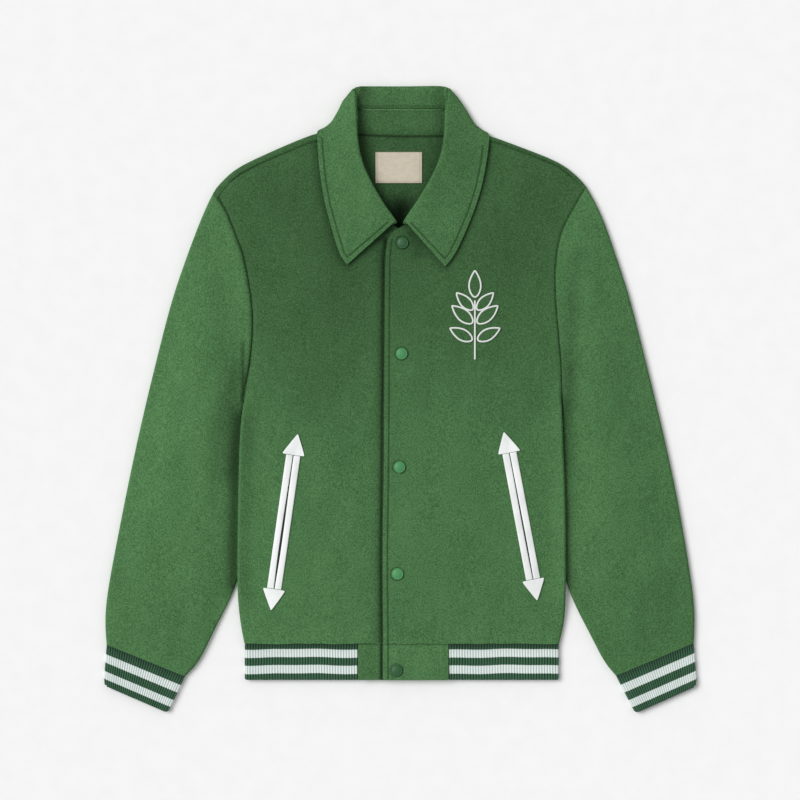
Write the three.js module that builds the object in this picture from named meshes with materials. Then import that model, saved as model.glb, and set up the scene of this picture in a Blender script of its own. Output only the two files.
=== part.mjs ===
// Varsity jacket, laid flat with its fronts up and its snaps closed, in millimetres.
// +X is the wearer's left, +Y runs from the hem to the collar, and +Z points up off the floor.
// The origin is on the floor, under the middle of the jacket.
import * as THREE from "three";
import { mergeVertices } from "three/addons/utils/BufferGeometryUtils.js";

// Driving dimensions
const CLOTH = 2.5; // body wool with its brushed nap
const COLLAR_CLOTH = 2.2;
const SEAM_GAP = 0.3; // between two pieces that are sewn together
const REST_GAP = 0.4; // between two layers that lie on each other
const BODY_STACK = 8; // both layers of the body with the slack between them
const CLOSED_STACK = 2 * CLOTH + REST_GAP; // both layers pressed together
const CROWN = 0.8; // how far the middle of a panel stands above its edges
const HEM_TOP = -296.9;
const HEM_BOTTOM = -341.8;
const HEM_TAB_RIGHT = -51.6; // where the rib ends and the tabs begin
const HEM_TAB_LEFT = 59;
const UNDERLAP = 19; // how far the right front runs under the placket
const CUFF_RIBS = 27;
const HEM_RIB_PITCH = 3.3;
const RIB_RELIEF = 0.7;
const TUCK_RISE = 6.8; // how far a side edge is lifted by the sleeve under it
const TUCK_REACH = 20;
const NECK_RISE = 2.8; // how far the neck is lifted by the collar under it
const NECK_STACK = 5.5;
const SHOULDER_TURN = 45; // over this the shoulder's seam turns into the armhole
const ROLL_RADIUS = 3.3; // of the collar's roll
const SNAP_RADIUS = 7.1;
const SNAP_HEIGHT = 3.4;
const SNAP_SIDES = 16;
const WELT_WIDTH = 8.4;
const WELT_HEIGHT = 1.8;
const WELT_ROWS = 5;
const SLIT_HALF = 0.4; // at the slit's ends
const ARROW_BASE = 28.8;
const ARROW_HEIGHT = 27.3;
const ARROW_LEAN = 1.9; // of the upper tips, toward the front edge
const ARROW_CORNER = 3; // how far the rounding reaches along each side
const LABEL_SIZE = { width: 57, height: 38, thickness: 1 };

const COLOURS = {
  wool: 0x4a6f47,
  rib: 0x34563e,
  leather: 0xe4eae5,
  snap: 0x498553,
  label: 0xbbb39c,
};

// Rows of numbers as records, by the names of their columns
const table = (columns, rows) => {
  const names = columns.split(" ");
  return rows.map((row) => Object.fromEntries(names.map((name, i) => [name, row[i]])));
};

// The body's edge from the hem up: front x on the placket side and then the neckline (inner),
// the side fold and then the armhole (outer). One row for each level of the front panels.
const FRONT_RIGHT = table("innerX innerY outerX outerY fold", [
  [UNDERLAP, HEM_TOP, -190.5, HEM_TOP, 1],
  [UNDERLAP, -270, -196, -268, 1],
  [UNDERLAP, -228, -198.9, -228, 1],
  [UNDERLAP, -184, -198.6, -184, 1],
  [UNDERLAP, -139, -198.1, -139, 1],
  [UNDERLAP, -92, -197.2, -92, 1],
  [UNDERLAP, -52, -196.1, -52, 1],
  [UNDERLAP, -24, -194, -24, 1],
  [UNDERLAP, -2, -191.9, -3, 0.4],
  [UNDERLAP, 22, -188.9, 16, 0],
  [UNDERLAP, 56, -184.2, 44, 0],
  [UNDERLAP, 94, -181.2, 74, 0],
  [UNDERLAP, 130, -180.6, 102, 0],
  [UNDERLAP, 164, -182.8, 127, 0],
  [18, 192, -187, 152.3, 0],
  [4, 205, -192.6, 178.5, 0],
  [-8, 213, -201.9, 202.8, 0],
  [-29, 237, -211.3, 227, 0],
  [-54, 275, -218.7, 241.5, 0],
  [-71, 322, -222.4, 246.1, 0],
]);
const FRONT_LEFT = table("innerX innerY outerX outerY fold", [
  [-20.6, HEM_TOP, 194.2, HEM_TOP, 1],
  [-20.8, -270, 200.9, -268, 1],
  [-21.2, -228, 201.8, -228, 1],
  [-21.3, -184, 202, -184, 1],
  [-20.7, -139, 201.8, -139, 1],
  [-20, -92, 200.4, -92, 1],
  [-19.7, -52, 198.6, -52, 1],
  [-19.5, -24, 198, -24, 1],
  [-19.4, -2, 196.8, -3, 0.4],
  [-19.3, 22, 196.5, 18, 0],
  [-19.1, 56, 195.8, 46, 0],
  [-18.9, 94, 193.2, 76, 0],
  [-18.6, 130, 190.6, 104, 0],
  [-18, 174, 188.9, 130, 0],
  [-15.5, 195, 188.7, 156, 0],
  [-9, 205.5, 190.8, 181, 0],
  [5, 213, 196, 204, 0],
  [28, 237, 204.1, 221.4, 0],
  [54, 275, 215.3, 242, 0],
  [72, 322, 223.3, 255.3, 0],
]);
const ROW_OF_UNDERARM = 8; // the first row of the armhole in both tables

// The shoulder fold and the back neckline, from the right armhole to the left one.
const SHOULDER = table("x y", [
  [-228.1, 253.2],
  [-222.2, 262.7],
  [-210.1, 274.6],
  [-193, 286.6],
  [-167.4, 298.7],
  [-133.1, 314],
  [-107, 323.9],
  [-97.1, 326.1],
  [-76, 329.6],
  [-62, 328],
  [-49, 323.6],
  [-24, 323.6],
  [1, 323.8],
  [27, 323],
  [53, 322],
  [64, 326],
  [77, 329],
  [99.3, 324.4],
  [113, 321.2],
  [135.3, 313.1],
  [169.6, 300.2],
  [195.2, 289.1],
  [212.3, 276.3],
  [220.5, 268.6],
  [226.6, 260.8],
]);
const SEAM_DROP = { right: 8.5, left: 5.4 }; // from the shoulder fold to its seam on the front
const NECK_HALF = 75; // the shoulder's seam begins this far from the middle

// Sleeves: the outer fold from the shoulder down and the inner fold from the underarm down.
const SLEEVE_RIGHT = {
  outer: [
    [-228.1, 253.2], [-239.4, 230.8], [-254.2, 193.4], [-276.7, 129.9], [-295.4, 58.9],
    [-316.3, -27.1], [-331, -95.4], [-344.4, -163.7], [-354.2, -215], [-360.3, -249.1],
    [-361.6, -279.6], [-358.8, -297.9],
  ],
  inner: [
    [-192.3, -3.4], [-194.9, -24], [-191, -50], [-190.6, -100], [-191.2, -160], [-193, -200],
    [-199.6, -228], [-220, -266.4], [-231.9, -292.8], [-248, -323.2], [-262.2, -337.3],
  ],
};
const SLEEVE_LEFT = {
  outer: [
    [226.4, 260.7], [235.8, 245.7], [247.1, 223.3], [278.8, 129.9], [297.4, 57.1],
    [318.1, -27.1], [333.9, -95.4], [346.1, -163.7], [354.7, -215], [358.9, -249.1],
    [360.9, -272], [358.4, -295.9],
  ],
  inner: [
    [197.2, -3.4], [199, -24], [193.6, -50], [194.8, -100], [196, -160], [196.8, -200],
    [202.8, -228], [219, -262], [231.4, -285.7], [252.7, -327.2], [262.8, -336.4],
  ],
};
const CUFF_FOOT = {
  right: { outer: [-362.6, -347.8], inner: [-283.4, -382] },
  left: { outer: [362.6, -348.6], inner: [286.4, -382.6] },
};

// The collar from its point to the middle of the back. The roll is its top edge, the edge is the
// fall's outer one, the neck is the seam to the body, and turn is 0 where the fall lies on the
// front and 1 where it lies under the back.
const COLLAR_RIGHT = table("rollX rollY rollZ edgeX edgeY edgeZ neckX neckY turn", [
  [-4, 216.5, 13.4, -65, 164.5, 11.3, -10, 214, 0],
  [-12, 228, 15, -74, 176, 11.3, -20, 225, 0],
  [-20, 239, 17, -81.5, 201, 11.3, -30, 237, 0],
  [-35.7, 265.7, 20.5, -91, 235, 11.3, -47, 263, 0],
  [-46.6, 290, 23.5, -97, 266, 11.3, -60, 288, 0],
  [-51.6, 315, 24, -100.2, 298, 11.4, -67, 310, 0],
  [-52.1, 343, 21, -101.6, 318, 11.6, -69, 324, 0],
  [-52.8, 364, 16, -101.3, 326.8, 11.2, -66, 330, 0.22],
  [-54.2, 377.2, 11.5, -99.2, 330, 6, -60, 329, 0.5],
  [-50.8, 382, 8.6, -94.2, 332, 1, -55, 326.8, 0.8],
  [-43, 382.4, 7.2, -78, 335.6, 0, -47, 324.2, 1],
  [-24, 382.4, 6.8, -38, 331, 0, -24, 324, 1],
]);
const [COLLAR_BACK] = table("rollX rollY rollZ edgeX edgeY edgeZ neckX neckY turn", [
  [1, 382.3, 6.7, 1, 330.6, 0, 1, 324.2, 1],
]);
const COLLAR_LEFT = table("rollX rollY rollZ edgeX edgeY edgeZ neckX neckY turn", [
  [3.3, 216.5, 13.4, 54.5, 162.6, 11.3, 9, 214, 0],
  [10.5, 228, 15, 65, 174, 11.3, 19, 225, 0],
  [18.5, 239, 17, 75, 194.5, 11.3, 29, 237, 0],
  [35, 265.7, 20.5, 89, 227, 11.3, 47, 263, 0],
  [47.5, 291, 23.5, 99, 258, 11.3, 61, 288, 0],
  [52.8, 315, 24, 104.8, 287, 11.4, 68, 310, 0],
  [54, 343, 21, 107.6, 308, 11.6, 70, 324, 0],
  [54.8, 364, 16, 109, 321.4, 11.2, 67, 330, 0.22],
  [56.6, 377.6, 11.5, 107.8, 326, 6, 61, 327, 0.5],
  [53.4, 382.2, 8.6, 102.2, 328.6, 1, 56, 324.2, 0.8],
  [45, 382.8, 7.2, 80, 335.6, 0, 49, 322.6, 1],
  [26, 382.6, 6.8, 40, 331, 0, 26, 323.5, 1],
]);
const STAND_SHARE = 0.56; // of the inner leg, from the neck seam to the roll
const FALL_LINES = table("share waist", [
  [0.28, 0.3],
  [0.62, 4.4],
  [0.85, 4.8],
  [1, 0],
]); // from the roll to the edge, with how far the folded corner draws in there
const CORNER_OUT = { x: 0.76, y: 0.65 }; // the way out of the collar at its folded corners

const SNAPS = table("x y", [
  [2.6, 191.3],
  [1.6, 56.2],
  [-1, -82],
  [-3.4, -212.2],
  [-4.6, -330],
]);

// Pocket mouths: the two ends of the slit, and half of its widest opening.
const POCKETS = [
  { name: "right", topX: -130.4, topY: -67.7, footX: -153.7, footY: -230.3, gape: 1.5, lean: ARROW_LEAN },
  { name: "left", topX: 132.9, topY: -64.9, footX: 161.9, footY: -218.6, gape: 0.9, lean: -ARROW_LEAN },
];

const clamp = (value, low = 0, high = 1) => Math.min(high, Math.max(low, value));
const mix = (a, b, share) => a + (b - a) * share;
const smooth = (value) => {
  const t = clamp(value);
  return t * t * (3 - 2 * t);
};
const mixPoint = (a, b, share) => a.map((value, axis) => mix(value, b[axis], share));

const distance = (a, b) => Math.hypot(a[0] - b[0], a[1] - b[1]);

// The point at a share of a path's length
function pathPoint(points, share) {
  const legs = points.slice(1).map((point, i) => distance(point, points[i]));
  let left = share * legs.reduce((sum, leg) => sum + leg, 0);
  for (const [i, leg] of legs.entries()) {
    if (left <= leg || i === legs.length - 1) {
      return mixPoint(points[i], points[i + 1], clamp(left / leg));
    }
    left -= leg;
  }
  return points.at(-1);
}

// A height or an edge read from a table by its y
function readTable(rows, y, keyY, keyX) {
  for (let i = 1; i < rows.length; i++) {
    if (y <= rows[i][keyY] || i === rows.length - 1) {
      const span = rows[i][keyY] - rows[i - 1][keyY];
      return mix(rows[i - 1][keyX], rows[i][keyX], clamp((y - rows[i - 1][keyY]) / span));
    }
  }
  return rows[0][keyX];
}

// How far the neck is lifted, as a share
function neckShare(x, y) {
  return smooth((y - 292) / 26) * smooth((120 - Math.abs(x)) / 14);
}

// How far the body's underside stands off the floor
function bodyRise(x, y) {
  const edge = Math.abs(readTable(x < 0 ? FRONT_RIGHT : FRONT_LEFT, y, "outerY", "outerX"));
  const band = smooth((6 - y) / 26) * smooth((y + 256) / 24);
  const tuck = smooth((TUCK_REACH - (edge - Math.abs(x))) / TUCK_REACH);
  return NECK_RISE * neckShare(x, y) + TUCK_RISE * tuck * band;
}

// The body's thickness through both layers, slack at the edges and a little fuller in the middle
function bodyStack(x, y) {
  const across = smooth(1 - Math.abs(Math.abs(x) - 105) / 90);
  const along = smooth((y + 330) / 120) * smooth((300 - y) / 90);
  const folds = 0.12 * Math.sin(x / 17 + y / 140) * smooth((y + 300) / 100);
  const full = BODY_STACK + (CROWN - 0.12) * across * along + folds * across;
  return mix(full, NECK_STACK, neckShare(x, y));
}

// Height of the right front's face: it runs down to pass under the placket
function rightTop(x, y) {
  const edge = readTable(FRONT_LEFT, Math.min(y, 180), "innerY", "innerX") - 6;
  const under = smooth((x - edge + 34) / 34) * (1 - neckShare(x, y));
  return bodyRise(x, y) + mix(bodyStack(x, y), CLOSED_STACK, under);
}

// Height of the left front's face: level along the placket, where the snaps sit
function leftTop(x, y) {
  const level = smooth((58 - x) / 22) * (1 - neckShare(x, y));
  const placket = CLOSED_STACK + REST_GAP + CLOTH;
  return bodyRise(x, y) + mix(bodyStack(x, y), placket, level);
}

// A closed wall between an outer and an inner grid of points
function wallGeometry(outer, inner, { ring = false } = {}) {
  const rows = outer.length;
  const columns = outer[0].length;
  const positions = [...outer.flat(), ...inner.flat()].flat();
  const at = (row, column, layer) => layer * rows * columns + row * columns + (column % columns);
  const faces = [];
  const quad = (a, b, c, d) => faces.push(a, b, c, a, c, d);
  const lastColumn = ring ? columns : columns - 1;
  for (let r = 0; r < rows - 1; r++) {
    for (let c = 0; c < lastColumn; c++) {
      quad(at(r, c, 0), at(r, c + 1, 0), at(r + 1, c + 1, 0), at(r + 1, c, 0));
      quad(at(r, c, 1), at(r + 1, c, 1), at(r + 1, c + 1, 1), at(r, c + 1, 1));
    }
  }
  for (let c = 0; c < lastColumn; c++) {
    quad(at(0, c, 0), at(0, c, 1), at(0, c + 1, 1), at(0, c + 1, 0));
    quad(at(rows - 1, c, 0), at(rows - 1, c + 1, 0), at(rows - 1, c + 1, 1), at(rows - 1, c, 1));
  }
  if (!ring) {
    for (let r = 0; r < rows - 1; r++) {
      quad(at(r, 0, 0), at(r + 1, 0, 0), at(r + 1, 0, 1), at(r, 0, 1));
      const last = columns - 1;
      quad(at(r, last, 0), at(r, last, 1), at(r + 1, last, 1), at(r + 1, last, 0));
    }
  }
  return finishGeometry(positions, faces);
}

// Turns the faces outwards by the sign of the enclosed volume
function finishGeometry(positions, faces) {
  let volume = 0;
  const point = (index) => new THREE.Vector3().fromArray(positions, index * 3);
  for (let i = 0; i < faces.length; i += 3) {
    volume += point(faces[i]).dot(point(faces[i + 1]).cross(point(faces[i + 2])));
  }
  const geometry = new THREE.BufferGeometry();
  geometry.setAttribute("position", new THREE.Float32BufferAttribute(positions, 3));
  geometry.setIndex(volume < 0 ? faces.toReversed() : faces);
  return geometry;
}

const ROUGHNESS = { leather: 0.45, snap: 0.45 }; // the cloths are 0.9
const jacket = new THREE.Group();
const materials = Object.fromEntries(
  Object.entries(COLOURS).map(([name, color]) => [
    name,
    new THREE.MeshStandardMaterial({ color, roughness: ROUGHNESS[name] ?? 0.9, metalness: 0 }),
  ]),
);

function addPiece(name, geometry, material) {
  const mesh = new THREE.Mesh(geometry, materials[material]);
  mesh.name = name;
  jacket.add(mesh);
}

// The shoulder fold's y over an x
function tableShoulder(x) {
  return readTable(SHOULDER, x, "x", "y");
}

// The way down from the shoulder fold, which turns into the armhole's at either end
function shoulderDown(x) {
  const rows = x < 0 ? FRONT_RIGHT : FRONT_LEFT;
  const end = x < 0 ? SHOULDER[0] : SHOULDER.at(-1);
  const armholeWay = [rows.at(-2).outerX - end.x, rows.at(-2).outerY - end.y];
  const length = Math.hypot(...armholeWay);
  const share = smooth(1 - Math.abs(x - end.x) / SHOULDER_TURN);
  return [(armholeWay[0] / length) * share, mix(-1, armholeWay[1] / length, share)];
}

// The back's columns round the shoulder fold: closer together at the armhole
const FOLD_WIDTH = BODY_STACK / 2;
const shoulderColumns = [
  ...[0, 1, 2, 3].map((i) => SHOULDER[0].x + (FOLD_WIDTH * i) / 3),
  ...SHOULDER.slice(2, -2).map(({ x }) => x),
  ...[3, 2, 1, 0].map((i) => SHOULDER.at(-1).x - (FOLD_WIDTH * i) / 3),
];

// The front's edge at the shoulder seam, from the neck to the armhole, clear of the back's edge
function shoulderSeam(side) {
  const drop = (side < 0 ? SEAM_DROP.right : SEAM_DROP.left) + 1.3 * SEAM_GAP;
  const rows = side < 0 ? FRONT_RIGHT : FRONT_LEFT;
  const columns = shoulderColumns.filter((x) => side * x > NECK_HALF).sort((a, b) => side * (a - b));
  const seam = columns.map((x) => {
    const [downX, downY] = shoulderDown(x);
    return [x + downX * drop, tableShoulder(x) + downY * drop];
  });
  return [[rows.at(-1).innerX, rows.at(-1).innerY], ...seam];
}

// One front: rows from hem to shoulder, columns from the placket to the side, the last few of
// them turning down round the side fold to the side seam at half height.
const FRONT_COLUMNS = [0, 0.1, 0.2, 0.3, 0.42, 0.54, 0.66, 0.78, 0.87, 0.925, 0.965];
const FOLD_ANGLES = [0, 30, 60, 87];

function frontPanel(rows, topAt, side) {
  const outer = [];
  const inner = [];
  const seam = shoulderSeam(side);
  for (const row of rows) {
    const start = [row.innerX, row.innerY + (row === rows[0] ? SEAM_GAP : 0)];
    const end = [row.outerX, row.outerY + (row === rows[0] ? SEAM_GAP : 0)];
    const length = distance(start, end);
    const radius = BODY_STACK / 2;
    const outerRow = [];
    const innerRow = [];
    const place = (across, drop) => {
      const share = across / length;
      let plan = mixPoint(start, end, share);
      if (row === rows.at(-2)) {
        const follow = 0.5 * smooth(Math.min(across, length - across) / 30);
        plan = mixPoint(plan, pathPoint(seam, share), follow);
      }
      if (row === rows.at(-1)) plan = pathPoint(seam, share);
      const top = topAt(...plan);
      outerRow.push([...plan, top - drop]);
      return [...plan, top - CLOTH];
    };
    for (const share of FRONT_COLUMNS) innerRow.push(place(share * (length - radius), 0));
    for (const degrees of FOLD_ANGLES) {
      const angle = THREE.MathUtils.degToRad(degrees);
      const flat = length - radius + (radius * degrees) / 90;
      const small = radius - CLOTH;
      const reach = mix(flat, length - radius + radius * Math.sin(angle), row.fold);
      const reachInner = mix(flat, length - radius + small * Math.sin(angle), row.fold);
      const inside = place(reach, row.fold * radius * (1 - Math.cos(angle)));
      const plan = mixPoint(start, end, reachInner / length);
      const height = inside[2] - row.fold * small * (1 - Math.cos(angle));
      innerRow.push(row.fold ? [...plan, height] : [inside[0], inside[1], height]);
    }
    outer.push(outerRow);
    inner.push(innerRow);
  }
  return { outer, inner };
}

// Height of a grid's own facets over a point
function facetHeight(grid, x, y) {
  const inTriangle = (a, b, c) => {
    const area = (b[0] - a[0]) * (c[1] - a[1]) - (c[0] - a[0]) * (b[1] - a[1]);
    const u = ((x - a[0]) * (c[1] - a[1]) - (c[0] - a[0]) * (y - a[1])) / area;
    const v = ((b[0] - a[0]) * (y - a[1]) - (x - a[0]) * (b[1] - a[1])) / area;
    const inside = u >= -1e-9 && v >= -1e-9 && u + v <= 1 + 1e-9;
    return inside ? a[2] + u * (b[2] - a[2]) + v * (c[2] - a[2]) : null;
  };
  for (let r = 0; r < grid.length - 1; r++) {
    for (let c = 0; c < grid[0].length - 1; c++) {
      const [a, b, d, e] = [grid[r][c], grid[r][c + 1], grid[r + 1][c + 1], grid[r + 1][c]];
      const height = inTriangle(a, b, d) ?? inTriangle(a, d, e);
      if (height !== null) return height;
    }
  }
  throw new Error(`no face over ${x}, ${y}`);
}

const frontRight = frontPanel(FRONT_RIGHT, rightTop, -1);
const frontLeft = frontPanel(FRONT_LEFT, leftTop, 1);
const onFrontRight = (x, y) => facetHeight(frontRight.outer, x, y);
const onFrontLeft = (x, y) => facetHeight(frontLeft.outer, x, y);
addPiece("front_right", wallGeometry(frontRight.outer, frontRight.inner), "wool");
addPiece("front_left", wallGeometry(frontLeft.outer, frontLeft.inner), "wool");

// The back: rows from the hem to the shoulder fold, then round the fold to the shoulder seam.
// Its columns are the shoulder table's, and both ends turn up round the side folds.
function backPanel() {
  const outer = [];
  const inner = [];
  const first = SHOULDER[0];
  const last = SHOULDER.at(-1);
  const columns = SHOULDER.map(({ x }) => (x - first.x) / (last.x - first.x));
  const radius = BODY_STACK / 2;
  for (let i = 0; i < FRONT_RIGHT.length - 1; i++) {
    const right = FRONT_RIGHT[i];
    const left = FRONT_LEFT[i];
    const lift = i === 0 ? SEAM_GAP : 0;
    const share = clamp((i - ROW_OF_UNDERARM) / (FRONT_RIGHT.length - ROW_OF_UNDERARM));
    const bulge = share ** 1.3;
    const outerRow = [];
    const innerRow = [];
    const bottom = (share01) => {
      const x = mix(right.outerX, left.outerX, share01);
      const straight = mix(right.outerY, left.outerY, share01) + lift;
      const span = mix(first.y, last.y, share01);
      const shoulder = tableShoulder(mix(first.x, last.x, share01)) - radius - span;
      return [x, straight + bulge * shoulder * smooth(Math.min(share01, 1 - share01) / 0.05)];
    };
    const width = left.outerX - right.outerX;
    const foldPoints = (side, fold) =>
      FOLD_ANGLES.map((degrees) => {
        const angle = THREE.MathUtils.degToRad(degrees);
        const flat = radius - (radius * degrees) / 90;
        const out = mix(flat, radius * (1 - Math.sin(angle)), fold) / width;
        const inn = mix(flat, radius - (radius - CLOTH) * Math.sin(angle), fold) / width;
        const at = (shareOut) => bottom(side < 0 ? shareOut : 1 - shareOut);
        const rise = bodyRise(...at(out));
        const turned = fold * (1 - Math.cos(angle));
        const outside = [...at(out), rise + turned * radius];
        const inside = [...at(fold ? inn : out), rise + CLOTH + turned * (radius - CLOTH)];
        return [outside, inside];
      });
    for (const [out, inn] of foldPoints(-1, right.fold).reverse()) {
      outerRow.push(out);
      innerRow.push(inn);
    }
    for (const column of columns.slice(2, -2)) {
      const plan = bottom(column);
      const rise = bodyRise(...plan);
      outerRow.push([...plan, rise]);
      innerRow.push([...plan, rise + CLOTH]);
    }
    for (const [out, inn] of foldPoints(1, left.fold)) {
      outerRow.push(out);
      innerRow.push(inn);
    }
    outer.push(outerRow);
    inner.push(innerRow);
  }
  // Round the shoulder fold. Between the shoulders these rows close up into the neck seam.
  const steps = [0, 45, 90, 135, 180];
  for (const [k, degrees] of [...steps, 180].entries()) {
    const outerRow = [];
    const innerRow = [];
    for (const x of shoulderColumns) {
      const fold = tableShoulder(x);
      const rise = bodyRise(x, fold);
      if (Math.abs(x) < NECK_HALF) {
        const y = fold - steps.length + k;
        outerRow.push([x, y, rise]);
        innerRow.push([x, y, rise + CLOTH]);
        continue;
      }
      const half = bodyStack(x, fold) / 2;
      const small = Math.max(0.2, half - CLOTH);
      const angle = THREE.MathUtils.degToRad(degrees);
      const drop = k < steps.length ? 0 : (x < 0 ? SEAM_DROP.right : SEAM_DROP.left) - half;
      const [downX, downY] = shoulderDown(x);
      const along = (r) => {
        const down = half - r * Math.sin(angle) + drop;
        return [x + downX * down, fold + downY * down, rise + half - r * Math.cos(angle)];
      };
      outerRow.push(along(half));
      innerRow.push(along(small));
    }
    outer.push(outerRow);
    inner.push(innerRow);
  }
  return wallGeometry(outer, inner);
}

addPiece("back", backPanel(), "wool");

// Sleeves: flat tubes of rings that start as the armhole and straighten on the way to the cuff.
// Both layers of a ring have the armhole's own points, so they meet the panels along one line.
const SLEEVE_RINGS = [0, 0.035, 0.085, 0.15, 0.24, 0.34, 0.45, 0.56, 0.68, 0.78, 0.87, 0.94, 1];
const SLEEVE_FLAT = 5.3; // where the inner fold is tucked under the body
const RING_ANGLES = [90, 55, 20, -20, -55, -90];

// The armhole from the shoulder to the underarm, moved out by the seam gap
function armhole(rows, shoulderEnd) {
  const side = Math.sign(shoulderEnd.x);
  const points = [
    [shoulderEnd.x, shoulderEnd.y],
    ...rows.slice(ROW_OF_UNDERARM).reverse().map((row) => [row.outerX, row.outerY]),
  ];
  return points.map((point, i) => {
    const before = points[Math.max(0, i - 1)];
    const after = points[Math.min(points.length - 1, i + 1)];
    const run = distance(after, before);
    const out = [(-(after[1] - before[1]) / run) * side, ((after[0] - before[0]) / run) * side];
    return [point[0] + out[0] * 1.3 * SEAM_GAP, point[1] + out[1] * 1.3 * SEAM_GAP];
  });
}

function sleeve(edges, rows, shoulderEnd) {
  const mouth = armhole(rows, shoulderEnd);
  const legs = mouth.slice(1).map((point, i) => distance(point, mouth[i]));
  const whole = legs.reduce((sum, leg) => sum + leg, 0);
  let walked = 0;
  const shares = legs.slice(0, -1).map((leg) => (walked += leg) / whole);
  const outer = [];
  const inner = [];
  for (const t of SLEEVE_RINGS) {
    const shoulderSide = t === 0 ? mouth[0] : pathPoint(edges.outer, t);
    const bodySide = t === 0 ? mouth.at(-1) : pathPoint(edges.inner, t);
    const length = distance(shoulderSide, bodySide);
    const curve = Math.max(0, 1 - t / 0.38) ** 2;
    const plan = (share) => {
      const here = mixPoint(shoulderSide, bodySide, share);
      const mouthHere = pathPoint(mouth, share);
      const straight = mixPoint(mouth[0], mouth.at(-1), share);
      return here.map((value, axis) => value + curve * (mouthHere[axis] - straight[axis]));
    };
    const innerHeight = mix(SLEEVE_FLAT, BODY_STACK, smooth((t - 0.7) / 0.14));
    const height = (share) => {
      const fromBody = (1 - share) * length;
      const crown = CROWN * Math.sin(Math.PI * share) * smooth(t / 0.12) * smooth((1 - t) / 0.1);
      return mix(innerHeight, BODY_STACK + crown, smooth(fromBody / 34));
    };
    const bands = { start: BODY_STACK / 2, end: innerHeight / 2 };
    const outerRow = [];
    const innerRow = [];
    const flatShares = shares.map((share) => clamp(share, 5 / length, 1 - 4 / length));
    for (const share of flatShares) {
      outerRow.push([...plan(share), height(share)]);
      innerRow.push([...plan(share), height(share) - CLOTH]);
    }
    const turnRound = (radius, shareAt, sign) => {
      for (const degrees of sign > 0 ? RING_ANGLES : RING_ANGLES.toReversed()) {
        const angle = THREE.MathUtils.degToRad(degrees);
        const small = Math.max(0.15, radius - CLOTH);
        const reach = (r) => shareAt((radius - r * Math.cos(angle)) / length);
        outerRow.push([...plan(reach(radius)), radius + radius * Math.sin(angle)]);
        innerRow.push([...plan(reach(small)), radius + small * Math.sin(angle)]);
      }
    };
    turnRound(bands.end, (share) => 1 - share, 1);
    for (const share of flatShares.toReversed()) {
      outerRow.push([...plan(share), 0]);
      innerRow.push([...plan(share), CLOTH]);
    }
    turnRound(bands.start, (share) => share, -1);
    outer.push(outerRow);
    inner.push(innerRow);
  }
  return wallGeometry(outer, inner, { ring: true });
}

addPiece("sleeve_right", sleeve(SLEEVE_RIGHT, FRONT_RIGHT, SHOULDER[0]), "wool");
addPiece("sleeve_left", sleeve(SLEEVE_LEFT, FRONT_LEFT, SHOULDER.at(-1)), "wool");

// Rib-knit cuffs: flat tubes with their ribs raised on the upper side
function cuff(edges, foot) {
  const rows = [
    { a: edges.outer.at(-1), b: edges.inner.at(-1), down: SEAM_GAP },
    { a: foot.outer, b: foot.inner, down: 0 },
  ];
  const axis = [0, 1].map((i) => rows[1].a[i] + rows[1].b[i] - rows[0].a[i] - rows[0].b[i]);
  const run = Math.hypot(...axis);
  const radius = BODY_STACK / 2;
  const outer = [];
  const inner = [];
  for (const { a, b, down } of rows) {
    const length = distance(a, b);
    const seamDown = axis.map((value) => (value / run) * down);
    const plan = (across) => mixPoint(a, b, across / length).map((value, i) => value + seamDown[i]);
    const outerRow = [];
    const innerRow = [];
    const steps = 2 * CUFF_RIBS;
    for (let i = 0; i <= steps; i++) {
      const at = plan(mix(radius, length - radius, i / steps));
      outerRow.push([...at, BODY_STACK - (i % 2 ? 0 : RIB_RELIEF)]);
      innerRow.push([...at, BODY_STACK - CLOTH - RIB_RELIEF]);
    }
    const turnRound = (start, sign) => {
      for (const degrees of sign > 0 ? [45, 0, -45, -90] : [-90, -45, 0, 45]) {
        const angle = THREE.MathUtils.degToRad(degrees);
        const small = radius - CLOTH;
        const at = (r) => plan(start + sign * r * Math.cos(angle));
        outerRow.push([...at(radius), radius + radius * Math.sin(angle)]);
        innerRow.push([...at(small), radius + small * Math.sin(angle)]);
      }
    };
    turnRound(length - radius, 1);
    for (const share of [0.75, 0.5, 0.25]) {
      outerRow.push([...plan(share * length), 0]);
      innerRow.push([...plan(share * length), CLOTH]);
    }
    turnRound(radius, -1);
    outer.push(outerRow);
    inner.push(innerRow);
  }
  return wallGeometry(outer, inner, { ring: true });
}

addPiece("cuff_right", cuff(SLEEVE_RIGHT, CUFF_FOOT.right), "rib");
addPiece("cuff_left", cuff(SLEEVE_LEFT, CUFF_FOOT.left), "rib");

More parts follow.
